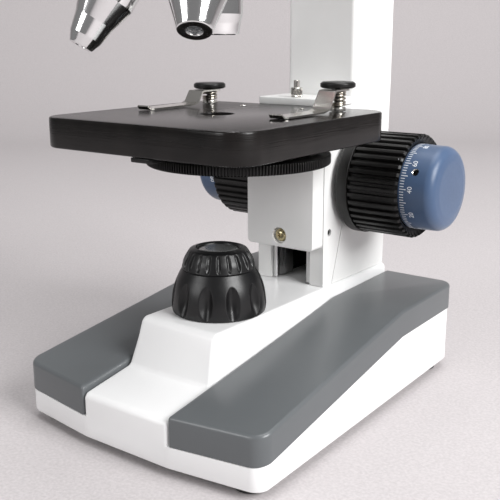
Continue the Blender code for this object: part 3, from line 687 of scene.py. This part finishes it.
def make_lamp():
    """The lamp's dome with its flutes, the slotted cap and the window in it."""
    seam, foot = CAP_LOW.z, LAMP_LOW.z
    flutes = hollows(11, math.radians(-33.7), -66.2, 2.7, 6.2, 2, 2.0, 13.0, foot - 1, seam - 1.5)
    skin = rounded([(13.7, seam - 0.02, 0.12), (17.1, -62.8, 24.0), (LAMP_HIGH.x, -70.2, 9.0),
                    (17.4, foot, 0.7), (13.6, foot, 0)], closed=False, count=10)
    outer = resample([(11.4, seam - 0.02)] + skin, 0.42)
    inner = [(13.6, foot + 0.2), (15.0, -68), (14.2, -63.5), (12.6, -59.5), (11.4, seam - 0.6)]
    shape = revolve(outer + inner, 396, flutes, closed=True)
    piece("lamp_body", aim(shape, OPTICS), "lamp_black", "root", ["lamp_housing"], 70)

    slots = hollows(21, math.radians(-50.4), -52.6, 0.85, 3.2, 3, 0.95, 10.3, -56.0, -49.6)
    cap_skin = rounded([(7.7, -49.3, 0), (8.3, CAP_HIGH.z, 0.5), (10.7, -49.2, 1.6), (12.9, -52.8, 8.0),
                        (13.7, seam + 0.1, 0.12), (11.3, seam + 0.1, 0)], closed=False, count=8)
    outer = resample(cap_skin, 0.2)
    inner = [(11.2, seam + 0.4), (10.6, -53.2), (9.6, -51.6), (6.6, -51.6), (6.6, -50.9), (7.7, -50.9)]
    shape = revolve(outer + inner, 504, slots, closed=True)
    piece("lamp_top", aim(shape, OPTICS), "lamp_black", "root", ["lamp_cap"], 70)
    lens = turned([(0, -48.95, 0), (5.5, -49.05, 6), (7.5, -49.45, 0.4), (7.5, -50.7, 0), (0, -50.7, 0)])
    piece("lamp_window", aim(lens, OPTICS), "diffuser", "root", ["lamp_lens"])


# ---- arm and guide

def arc(centre, radius, first, last, step):
    """Points on an arc, with its angles in degrees."""
    turns = [math.radians(a) for a in range(first, last, step)]
    return [(centre[0] + radius * math.cos(turn), centre[1] + radius * math.sin(turn)) for turn in turns]


def make_arm():
    """The casting: one side view from guide block to sweep, the round head and the openings."""
    foot, half = ARM_LOW.z, ARM_HALF
    block = [(RAIL_FRONT, foot, 0), (RAIL_FRONT, -0.5, 0.6), (66.0, -0.5, 2.5), (66.0, 58.0, 0)]
    inner = arc((34, 58), 32, 6, 85, 6)
    outer = arc((46.7, 48), 51.8, 78, -1, -6)
    outline = (rounded(block, closed=False) + inner + [(20, 90), (20, 112), (24, 112), (24, 103)] + outer
               + [(98.5, 10), (96.4, foot)])
    shape = prism(outline, -half, half, "X")
    shape = round_edges(shape, 2.2, 5, 70, lambda e: arm_long_edge(e, foot))
    rim = turned([(0, 120.0, 0), (24.0, 120.0, 1.2), (25.0, 116.0, 0.6), (25.0, 82.0, 3.0), (20.0, 76.0, 2.0),
                  (0, 76.0, 0)], 96)
    shape = combine(shape, aim(rim, OPTICS), "UNION")
    turret_space = aim(rod(34, 14.0, 60, 96), APEX, TURRET_AXIS)
    slot = box((-SLOT_HALF, 30, -80), (SLOT_HALF, 78, -6))
    slot_mouth = box((-SLOT_HALF, 30, -10), (SLOT_HALF, 60, 5))
    shaft_hole = aim(rod(5.4, -30, 30), DRIVE, (1, 0, 0))
    screw_hole = aim(rod(1.45, -30, 30, 24), GUIDE_SCREW, (1, 0, 0))
    light_hole = rod_at(7.5, 70, 130, OPTICS)
    head_seat = rod_at(19.0, 106, 130, OPTICS, 96)
    lock_hole = aim(rod(2.4, 15, 40), LOCK_SCREW, (1, 0, 0))
    shape = cut(shape, turret_space, slot, slot_mouth, shaft_hole, screw_hole, light_hole, head_seat,
                lock_hole)
    seam = [(51.4, foot - 1), (51.9, foot - 1), (59.3, -50.0), (71.3, -14.0), (70.8, -14.0), (58.8, -50.0)]
    for side, _ in SIDES:
        shape = cut(shape, prism(seam, side * (half - 0.5), side * (half + 5), "X"))
    piece("arm_casting", shape, "white_paint", "root", ["arm"], 28)
    for side, word in SIDES:
        plug = aim(rod(1.05, 0, 5, 24), GUIDE_SCREW + Vector((side * 10.6, 0, 0)), (side, 0, 0))
        piece(f"guide_set_screw_{word}", plug, "groove_dark", "root")


def arm_long_edge(edge, foot):
    """True for the arm's side edges, apart from the guide block's."""
    centre = (edge.verts[0].co + edge.verts[1].co) / 2
    return abs(centre.x) > ARM_HALF - 0.01 and centre.z > foot + 1 and (centre.y > 60 or centre.z > 5)


def make_stop():
    """The plate on the guide block and the knurled screw through it."""
    low, high = near("stop_plate")
    plate = rounded([(low.x, low.y, 0.8), (high.x, low.y, 0.8), (high.x, high.y, 0.4), (low.x, high.y, 0.4)])
    shape = round_edges(prism(plate, low.z, high.z), 0.45, 3, 60)
    shape = cut(shape, rod_at(1.95, -5, 10, STOP_SCREW))
    piece("stop_bar", shape, "white_paint", "root", ["stop_plate"])
    teeth = 24
    profile = resample([(0, 9.5), (1.1, 9.5), (1.25, 9.3), (1.25, 6.7), (2.1, 6.7), (2.35, 6.4), (2.35, 3.2),
                        (2.1, 3.0), (1.6, 3.0), (1.6, -1.6), (0, -1.6)], 0.5)
    shape = revolve(profile, teeth * 8, knurl(3.2, 6.3, 2.0, 0.28, teeth))
    piece("stop_knob", aim(shape, STOP_SCREW), "nickel", "stop_screw", ["stop_screw"])


def make_guides():
    """The two V-grooved rails, and behind them a thin near-black sheet in the arm's cavity: painted shade
    that darkens the slot.
    """
    half_section = ((9.5, 46.5), (9.5, 58), (7.1, 58), (7.1, 52.5), (8.3, 49.6), (7.1, 46.5))
    for side, word in SIDES:
        section = rounded([(side * x, y, 0.2) for x, y in half_section], count=2)
        low, high = near(f"guide_rail_{word}")
        piece(f"rail_{word}", prism(section, low.z, high.z), "steel", "root", [f"guide_rail_{word}"])
    # Painted shade: a near-black sheet in the cavity behind the rails, to darken the slot between them.
    well = [(-9.7, 58.6), (-9.7, 77.7), (9.7, 77.7), (9.7, 58.6), (9.2, 58.6), (9.2, 77.0), (-9.2, 77.0),
            (-9.2, 58.6)]
    piece("guide_painted_shade", prism(well, ARM_LOW.z + 0.2, -43.0), "black_plastic", "root")


def make_bracket():
    """The block under the stage, with its cross-head screw."""
    low, high = BRACKET_LOW, BRACKET_HIGH
    face = rounded([(low.x, high.z, 0), (low.x, low.z, 1.8), (high.x, low.z, 1.8), (high.x, high.z, 0)])
    shape = round_edges(prism(face, low.y, high.y, "Y"), 0.35, 3, 50)
    screw = Vector((0, low.y, -51.8))
    shape = cut(shape, aim(rod(3.4, -4, 1.9), screw, (0, 1, 0)), aim(rod(1.7, 0, 9), screw, (0, 1, 0)))
    piece("bracket_block", shape, "white_paint", "stage", ["stage_bracket"])
    head = aim(cross_head(2.65, 1.5), screw + Vector((0, 1.75, 0)), (0, -1, 0), 0.3)
    piece("bracket_screw_head", head, "brass", "stage", ["bracket_screw"])


# ---- focus knobs

def make_knobs():
    """On each side: the flange, the ribbed coarse knob and the fine knob."""
    ribs = 40
    for side, word in SIDES:
        out = (side, 0, 0)
        index_turn = dial_angle(side, INDEX_NUMBER)
        flange = rounded([(3.4, 23.45, 0), (FLANGE_RADIUS, 23.45, 0.15), (FLANGE_RADIUS, 18.4, 1.6),
                          (18.8, 17.5, 1.0), (3.4, 17.5, 0)], closed=False)
        piece(f"flange_disc_{word}", aim(revolve(flange, closed=True), DRIVE, out), "black_plastic",
              "coarse_knobs", [f"knob_flange_{word}"])

        def ribbed(r, h, turn):
            if r < COARSE_RADIUS - 2.5:
                return r, h
            wave = math.cos((turn - index_turn) * ribs)
            groove = min(1.0, max(0.0, (0.1 - wave) / 0.3))
            return min(r - 1.3 * groove, chamfer_radius(h)), h

        start, end = 23.7, KNOB_HIGH.x
        skin = [(COARSE_RADIUS - 0.15, start), (COARSE_RADIUS, start + 0.15)]
        skin += [(COARSE_RADIUS, h) for h in (24.5, 30, 36, 42)]
        skin += [(COARSE_RADIUS, end - 0.9 + 0.15 * k) for k in range(7)]
        skin += [(18.2, end - 0.9), (17.4, end - 1.4), (17.4, 42.9), (3.4, 42.9), (3.4, start)]
        piece(f"coarse_grip_{word}", aim(revolve(skin[::-1], ribs * 14, ribbed, closed=True), DRIVE, out),
              "black_plastic", "coarse_knobs", [f"coarse_knob_{word}"], 28)
        make_fine_knob(side, word)


def dial_angle(side, number):
    """The angle about the knob's axis at which a number of the dial stands."""
    forty = math.radians(-94.4) if side > 0 else math.radians(150)
    return forty - (number - 40) * math.tau / DIVISIONS


def fine_radius(h):
    """The dial's radius: a slight taper from the base to the rounded end."""
    return FINE_RADIUS - 0.012 * max(0.0, h - 44.3)


def make_fine_knob(side, word):
    """The fine knob with its set screw and its dial, and the index line on the coarse knob."""
    out = (side, 0, 0)
    end = FINE_HIGH.x
    knob = turned([(0, end, 0), (11.0, end - 0.15, 9.0), (fine_radius(end) - 0.05, end - 1.1, 4.2),
                   (FINE_RADIUS, 44.1, 0), (FINE_RADIUS - 0.5, 43.3, 0.3), (1.9, 43.3, 0), (1.9, 52.4, 0),
                   (0, 52.4, 0)], 160, 10)
    hole_turn = dial_angle(side, 53.4)
    hole = Vector((0, 0, 50.1))
    axis = Vector((math.cos(hole_turn), math.sin(hole_turn), 0))
    knob = cut(knob, aim(rod(1.45, 13.2, 22, 32), hole, axis))
    piece(f"fine_grip_{word}", aim(knob, DRIVE, out), "blue_rubber", "fine_knobs", [f"fine_knob_{word}"], 30)
    top = FINE_RADIUS - 0.15
    lining = revolve([(1.4, top - 0.1), (1.4, 13.5), (1.15, 13.5), (1.15, top - 0.4)], 32, closed=True)
    lining = aim(lining, hole, axis)
    piece(f"fine_set_sleeve_{word}", aim(lining, DRIVE, out), "nickel", "fine_knobs")
    screw = revolve([(0, 14.6), (0.5, 14.6), (0.95, 14.9), (0.95, 13.6), (0, 13.6)], 24)
    screw = aim(screw, hole, axis)
    piece(f"fine_set_screw_{word}", aim(screw, DRIVE, out), "groove_dark", "fine_knobs")

    marks = bmesh.new()
    tick_foot = 44.7
    for number in range(0, DIVISIONS, 2):
        tick_top = tick_foot + (2.7 if number % 10 == 0 else 1.7)
        marks = join(marks, dial_bar(dial_angle(side, number), tick_foot, tick_top, 0.15, fine_radius))
    for number in range(0, DIVISIONS, 20):
        marks = join(marks, dial_number(str(number), dial_angle(side, number), 49.0))
    piece(f"fine_scale_{word}", aim(marks, DRIVE, out), "printing", "fine_knobs", angle=60)

    rim = KNOB_HIGH.x
    index = dial_bar(dial_angle(side, INDEX_NUMBER), rim - 1.8, rim - 0.3, 0.2, chamfer_radius)
    piece(f"coarse_index_{word}", aim(index, DRIVE, out), "printing", "coarse_knobs", angle=60)


def chamfer_radius(h):
    """The coarse knob's outside: level, with its last edge taken off."""
    return COARSE_RADIUS - 0.05 - 0.85 * max(0.0, h - KNOB_HIGH.x + 0.85)


def dial_bar(turn, low, high, half_width, radius_at):
    """A thin raised line along the knob's side."""
    rings = []
    for height in (low, high):
        radius = radius_at(height)
        ring = []
        for r, offset in ((-0.06, -1), (0.035, -1), (0.035, 1), (-0.06, 1)):
            angle = turn + offset * half_width / radius
            ring.append(((radius + r) * math.cos(angle), (radius + r) * math.sin(angle), height))
        rings.append(ring)
    return loft(rings)


def dial_number(text, turn, height):
    """A number wrapped round the dial, its top towards the coarse knob."""
    curve = bpy.data.curves.new("number", "FONT")
    curve.body = text
    curve.size = 2.7
    curve.extrude = 0.045
    curve.resolution_u = 4
    curve.align_x = curve.align_y = "CENTER"
    item = add_object("number", curve)
    evaluated = item.evaluated_get(bpy.context.evaluated_depsgraph_get())
    mesh = bpy.data.meshes.new_from_object(evaluated)
    bpy.data.objects.remove(item)
    shape = bmesh.new()
    shape.from_mesh(mesh)
    for vert in shape.verts:
        x, y, z = vert.co
        h = height - y
        radius = fine_radius(h) + z
        angle = turn - x / radius
        vert.co = (radius * math.cos(angle), radius * math.sin(angle), h)
    return shape


# ---- stage

def make_stage():
    """The stage with its openings, its two small screws and the disc's detent strip."""
    low, high = near("stage_plate")
    shape = round_edges(prism(rounded_box(low, high, 10.0, 16), low.z, high.z), 0.7, 3, 60)
    funnel = revolve([(0, 3), (6.9, 3), (6.9, 0.4), (6.0, -0.5), (6.0, -20), (0, -20)], 96)
    shape = cut(shape, aim(funnel, OPTICS), rod_at(9.3, -20, -4.0, OPTICS, 96))
    for place in CLIP_PLACES.values():
        shape = cut(shape, rod_at(2.2, -20, 5, (place.x, place.y, 0)))
    pivot = middle("diaphragm_pivot")
    shape = cut(shape, rod_at(1.9, -20, -5, (pivot.x, pivot.y, 0)), rod_at(1.3, -20, -5, (3.5, -41.0, 0)))
    piece("stage_top", shape, "stage_black", "stage", ["stage_plate"], 30)
    for index, (x, y) in enumerate(((-13.9, 32.1), (13.9, 32.1))):
        pin = turned([(0, 0.35, 0), (1.0, 0.3, 0.4), (1.3, -0.5, 0), (0, -0.5, 0)], 32)
        piece(f"stage_screw_{index}", aim(pin, (x, y, 0)), "nickel", "stage")
    low, high = near("diaphragm_spring")
    strip = prism(rounded_box(low, high, 1.0), low.z, BRACKET_HIGH.z)
    piece("detent_strip", round_edges(strip, 0.15, 2, 60), "black_plastic", "stage", ["diaphragm_spring"])


def make_disc():
    """The knurled disc under the stage, with five openings."""
    teeth = 190
    box_low, box_high = near("diaphragm_disc")
    radius = (box_high.x - box_low.x) / 2
    centre = middle("diaphragm_disc")
    low, high = box_low.z, box_high.z

    def knurled(r, h, turn):
        if r < radius - 0.2:
            return r, h
        return r - 0.7 * min(1.0, max(0.0, 0.6 - math.cos(turn * teeth))), h

    profile = [(2.7, high - 0.9), (24.0, high - 0.9), (24.6, high), (radius - 0.5, high),
               (radius - 0.1, high - 0.25), (radius, high - 0.6), (radius, low + 0.6),
               (radius - 0.1, low + 0.25), (radius - 0.6, low), (24.6, low), (24.0, low + 0.5),
               (2.7, low + 0.5)]
    shape = revolve(profile, teeth * 6, knurled, closed=True)
    reach = math.hypot(centre.x, centre.y - OPTICS.y)
    start = math.atan2(OPTICS.y - centre.y, -centre.x)
    for index, stop in enumerate((5.0, 0.8, 1.8, 2.9, 4.0)):
        turn = start + index * math.tau / 5
        shape = cut(shape, rod_at(stop, -8, 8, (reach * math.cos(turn), reach * math.sin(turn), 0)))
    shape = aim(shape, (centre.x, centre.y, 0))
    piece("diaphragm_wheel", shape, "black_plastic", "diaphragm", ["diaphragm_disc"], 40)


def make_clip(word):
    """A slide clip: a bent strip, its eye under a black button, the post and the spring."""
    place = CLIP_PLACES[word]
    x, y = place.x, place.y
    swivel, lift = f"clip_base_{word}", f"clip_{word}"
    eye = near(f"clip_button_{word}")[0].z - 0.6
    foot = turned([(0, 1.7, 0), (3.0, 1.7, 0.3), (3.1, 0.35, 0.2), (1.8, 0.3, 0), (1.8, -11.0, 0),
                   (2.9, -11.0, 0.2), (2.9, -12.0, 0.3), (0, -12.0, 0)], 64, 4)
    piece(f"clip_pin_{word}", aim(foot, (x, y, 0)), "nickel", swivel, [f"clip_post_{word}"])
    shaft = turned([(0, eye + 0.4, 0), (1.2, eye + 0.4, 0.3), (1.2, 1.5, 0), (0, 1.5, 0)], 48, 4)
    piece(f"clip_shaft_{word}", aim(shaft, (x, y, 0)), "dark_steel", swivel)

    wire, pitch, coil = 0.36, 1.16, 2.75
    low, high = 1.75 + wire, eye - 0.1 - wire
    turns = (high - low) / pitch + 0.9
    count = int(turns * 36)
    path = []
    for i in range(count + 1):
        share = i / count
        turn = math.tau * turns * share + 2.2
        eased = share - 0.07 * math.sin(math.tau * share)
        path.append((x + coil * math.cos(turn), y + coil * math.sin(turn), low + (high - low) * eased))
    spring = piece(f"clip_coil_{word}", tube(path, wire), "spring_wire", swivel, [f"clip_spring_{word}"], 60)
    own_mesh(spring)

    bend = 0.69 * (7.8 - eye)
    line = rounded([(-38.7, 1.75, 0), (-37.6, 0.65, 0.9), (-34.0, 0.62, 6.0), (-14.4, 0.75, 5.0),
                    (-11.1, 1.5, 2.2), (-6.8 - bend, eye, 1.1), (4.6, eye, 0)], closed=False, count=6)
    line = resample(line, 0.8)
    rings = []
    for i, (along, height) in enumerate(line):
        before, after = Vector(line[max(0, i - 1)]), Vector(line[min(len(line) - 1, i + 1)])
        normal = Vector((-(after - before).y, (after - before).x)).normalized() * 0.3
        half = clip_half_width(along)
        lower, upper = Vector((along, height)) - normal, Vector((along, height)) + normal
        corners = ((-half, lower), (half, lower), (half, upper), (-half, upper))
        rings.append([(x + aside, y + spot.x, spot.y) for aside, spot in corners])
    shape = combine(loft(rings), rod_at(2.2, eye - 1.3, eye + 1.7, (x, y, 0)))
    piece(f"clip_leaf_{word}", shape, "nickel", lift, [f"clip_strip_{word}"], 25)

    button = turned([(0, 3.0, 0), (5.6, 2.9, 0.5), (6.4, 2.3, 0.4), (6.4, 1.1, 0.3), (5.6, 0.6, 0.3),
                     (2.3, 0.6, 0), (2.3, 2.1, 0), (0, 2.1, 0)], count=4)
    piece(f"clip_cap_{word}", aim(button, (x, y, eye)), "black_plastic", lift, [f"clip_button_{word}"])


def clip_half_width(along):
    """Half the strip's width: a rounded tip, a plain leaf and a round eye."""
    if along > 2.0:
        return math.sqrt(max(0.4, 3.6 ** 2 - (along - 1.2) ** 2))
    if along < -36.5:
        return 3.4 - 0.35 * (-36.5 - along)
    return 3.6


# ---- turret, objectives and head

def objective_way(turn):
    return Matrix.Rotation(math.radians(turn), 3, TURRET_AXIS) @ Vector((0, 0, -1))


def make_turret():
    """The fixed mount, the turning shell with its three bosses, and the objectives."""
    mount = rounded([(7.6, 14.3, 0), (21.0, 14.3, 0.5), (22.0, 15.5, 0.5), (22.0, 18.9, 0.3), (7.6, 18.9, 0)],
                    count=4)
    shape = cut(aim(revolve(mount, 96, closed=True), APEX, TURRET_AXIS), rod_at(7.6, 60, 130, OPTICS))
    piece("turret_base", shape, "black_plastic", "root", ["nosepiece_mount"])
    teeth = 60
    shell = rounded([(0, 19.2, 0), (25.4, 19.2, 0.6), (26.0, 20.2, 0.4), (26.0, 29.4, 0.5), (24.6, 31.0, 1.0),
                     (23.2, 37.0, 3.0), (18.5, 43.0, 2.5), (0, 43.0, 0)], closed=False)
    shape = revolve(resample(shell, 1.2), teeth * 8, knurl(20.4, 29.0, 25.0, 0.7, teeth, 1.5))
    shape = aim(shape, APEX, TURRET_AXIS)
    turns = (0, 120, 240)
    for turn in turns:
        boss = turned([(0, 32, 0), (11.0, 32, 0), (11.0, 47.7, 0.6), (0, 47.7, 0)], 64)
        shape = combine(shape, aim(boss, APEX, objective_way(turn)), "UNION")
    for turn in turns:
        shape = cut(shape, aim(rod(7.4, 10, 60), APEX, objective_way(turn)))
    piece("turret_shell", shape, "chrome", "turret", ["turret"], 30)

    low = [(20, 9.6), (23, 8.8), (27.0, 8.2)]
    mid = [(25, 9.6), (33, 7.0), (38.0, 5.4)]
    high = [(26, 9.6), (34, 6.8), (40, 5.6), (43.5, 4.0)]
    objective("objective_low", turns[0], low, "red_ring", "objective_4x")
    objective("objective_middle", turns[1], mid, "yellow_ring", "objective_10x")
    objective("objective_high", turns[2], high, "blue_ring", "objective_40x")


def objective(name, turn, steps, ring, node):
    """A barrel with a knurled grip, (distance, radius) steps to its tip, a coloured ring and a front lens."""
    seat = OBJECTIVE_SEAT
    way = objective_way(turn)
    teeth = 48
    length, tip = steps[-1]
    corners = [(7.8, seat, 0), (9.6, seat, 0.3), (10.0, seat + 0.8, 0.2), (10.0, seat + 3.8, 0.3),
               (9.4, seat + 4.4, 0.2), (9.6, seat + 5.2, 0.2), (9.6, seat + 8.0, 0.1), (9.3, seat + 8.3, 0.1),
               (9.3, seat + 10.2, 0.1), (9.6, seat + 10.5, 0.1)]
    corners += [(radius, seat + way_down, 0.5) for way_down, radius in steps]
    corners += [(tip * 0.5, seat + length, 0.2), (tip * 0.45, seat + length - 1.2, 0),
                (5.0, seat + length - 8, 0), (5.0, seat, 0)]
    outline = resample(rounded(corners, count=4), 0.9)
    barrel = revolve(outline, teeth * 6, knurl(49.0, 52.0, 9.0, 0.4, teeth), closed=True)
    piece(f"{name}_barrel", aim(barrel, APEX, way), "chrome", "turret", [node])
    band = [(9.25, seat + 8.35), (9.55, seat + 8.45), (9.55, seat + 10.05), (9.25, seat + 10.15)]
    piece(f"{name}_band", aim(revolve(band, 96, closed=True), APEX, way), ring, "turret")
    lens = turned([(0, seat + length - 0.5, 0), (tip * 0.42, seat + length - 0.9, 0.3),
                   (tip * 0.42, seat + length - 1.9, 0), (0, seat + length - 1.9, 0)], 48)
    piece(f"{name}_lens", aim(lens, APEX, way), "optical_glass", "turret")


def make_head():
    """The inclined head, its eyepiece and its lock screw."""
    skirt = turned([(0, 152, 0), (9, 151, 14), (19.5, 143.5, 12), (22.5, 130, 12), (22.5, 120.3, 0.6),
                    (18.6, 120.3, 0), (18.6, 107, 0), (0, 107, 0)], 96, 8)
    neck = [(0, 0, 0), (14.5, 0, 0), (14.5, 54, 0.4), (15.0, 55, 0.4), (15.0, 62, 0.8), (0, 62, 0)]
    head = combine(aim(skirt, OPTICS), aim(turned(neck, 96), HEAD_CENTRE, HEAD_AXIS), "UNION")
    head = cut(head, aim(rod(11.7, 0, 70, 96), HEAD_CENTRE, HEAD_AXIS), rod_at(9.5, 100, 146, OPTICS, 64))
    piece("head_casting", head, "white_paint", "head", ["head_body"], 30)

    barrel = rounded([(13.0, 86.0, 0), (13.2, 87.9, 0.4), (15.2, 87.0, 0.8), (15.8, 80.0, 1.0),
                      (15.8, 66.0, 0.6), (14.8, 62.4, 0.3), (11.3, 62.4, 0), (11.3, 34.0, 0), (9.9, 34.0, 0),
                      (9.9, 84.0, 0), (11.6, 86.0, 0)])
    ribs = 48
    shape = revolve(resample(barrel, 1.0), ribs * 6, knurl(68.0, 79.0, 15.0, 0.45, ribs), closed=True)
    shape = aim(shape, HEAD_CENTRE, HEAD_AXIS)
    piece("eyepiece_shell", shape, "black_plastic", "eyepiece", ["eyepiece_barrel"])
    lens = turned([(0, 83.6, 0), (6, 82.8, 12), (9.6, 81.0, 0.3), (9.6, 78.4, 0), (0, 78.4, 0)])
    lens = aim(lens, HEAD_CENTRE, HEAD_AXIS)
    piece("eyepiece_eye_lens", lens, "optical_glass", "eyepiece", ["eyepiece_lens"])

    lock = near("head_lock_screw")[0]
    teeth = 18
    profile = resample([(0, 34.5), (4.6, 34.5), (5.7, 33.8), (5.8, 33.0), (5.8, 27.6), (5.3, 26.2),
                        (4.6, 25.9), (1.9, 25.9), (1.9, lock.x), (0, lock.x)], 0.8)
    shape = revolve(profile, teeth * 8, knurl(27.0, 34.0, 5.0, 0.5, teeth))
    piece("lock_knob", aim(shape, LOCK_SCREW, (1, 0, 0)), "black_plastic", "head_lock", ["head_lock_screw"])


# ---- CAD nodes that stay

def dress_nodes():
    """Gives each CAD node that is still shown its finish."""
    slots = {row["node"]: row["material_slot"] for row in frame["record"]["subparts"]}
    named = {"black_stage": "stage_black"}
    for name, item in frame["nodes"].items():
        if item.hide_render:
            continue
        finish = slots[name]
        item.data.materials.clear()
        item.data.materials.append(MATERIALS[named.get(finish, finish)])


# ---- studio

def make_studio():
    """The floor, which curves up to a low wall behind the object."""
    floor_z = CAD_BOX[0].z - 0.0002
    front, back, rise, half_width = -1.6, 1.2, 0.62, 2.6
    line = rounded([(front, floor_z, 0), (back, floor_z, 0.4), (back, floor_z + rise, 0)], closed=False,
                   count=24)
    turn = Matrix.Rotation(math.radians(37.3), 3, "Z")
    shape = bmesh.new()
    left, right = [[shape.verts.new(turn @ Vector((x, y, z))) for y, z in line]
                   for x in (-half_width, half_width)]
    for i in range(len(line) - 1):
        shape.faces.new((left[i], right[i], right[i + 1], left[i + 1]))
    mesh = to_mesh("backdrop", shape)
    paper = material("backdrop", (0.50, 0.47, 0.475), 0.8, tint=0.09, tint_scale=900, grain=700, bump=0.3,
                     depth=0.4)
    mesh.materials.append(paper)
    mesh.shade_smooth()
    item = add_object("backdrop", mesh)


def area_light(name, place, aim_at, size, power):
    light = bpy.data.lights.new(name, "AREA")
    light.shape = "RECTANGLE"
    light.size, light.size_y = size
    light.energy = power
    item = add_object(name, light)
    item.location = place
    item.rotation_mode = "QUATERNION"
    item.rotation_quaternion = (Vector(aim_at) - Vector(place)).to_track_quat("-Z", "Y")


def make_lights():
    target = (0, 0, 0.08)
    area_light("key", (1.25, -0.1, 0.8), target, (0.8, 0.7), 29)
    area_light("top", (0.1, 0.2, 1.4), target, (1.1, 0.9), 12)
    area_light("fill", (-0.5, -1.3, 0.7), target, (0.7, 0.7), 8)
    world = bpy.data.worlds.new("studio")
    bpy.context.scene.world = world
    world.use_nodes = True
    fill(world.node_tree.nodes["Background"], Color=(0.93, 0.92, 0.93, 1), Strength=0.25)
    bpy.context.scene.view_settings.view_transform = "Standard"


def make_camera():
    """The view from the object's front right, a little above the stage."""
    heading, pitch, roll = [math.radians(a) for a in (37.29, 14.17, -0.21)]
    forward = Vector((-math.sin(heading) * math.cos(pitch), math.cos(heading) * math.cos(pitch),
                      -math.sin(pitch)))
    right = Vector((math.cos(heading), math.sin(heading), 0))
    up = right.cross(forward)
    right, up = right * math.cos(roll) + up * math.sin(roll), up * math.cos(roll) - right * math.sin(roll)
    camera = bpy.data.cameras.new("camera")
    camera.lens = 62.3
    camera.sensor_width = 36.0
    item = add_object("camera", camera)
    place = ORIGIN + Vector((197.33, -241.33, 28.33)) * MM
    item.matrix_world = Matrix.Translation(place) @ Matrix((right, up, -forward)).transposed().to_4x4()
    bpy.context.scene.camera = item


make_camera()
make_lights()
make_studio()
make_base()
for side, word in SIDES:
    make_cover(side, word)
make_base_fittings()
make_lamp()
make_arm()
make_stop()
make_guides()
make_bracket()
make_knobs()
make_stage()
make_disc()
for _, word in SIDES:
    make_clip(word)
make_turret()
make_head()
dress_nodes()
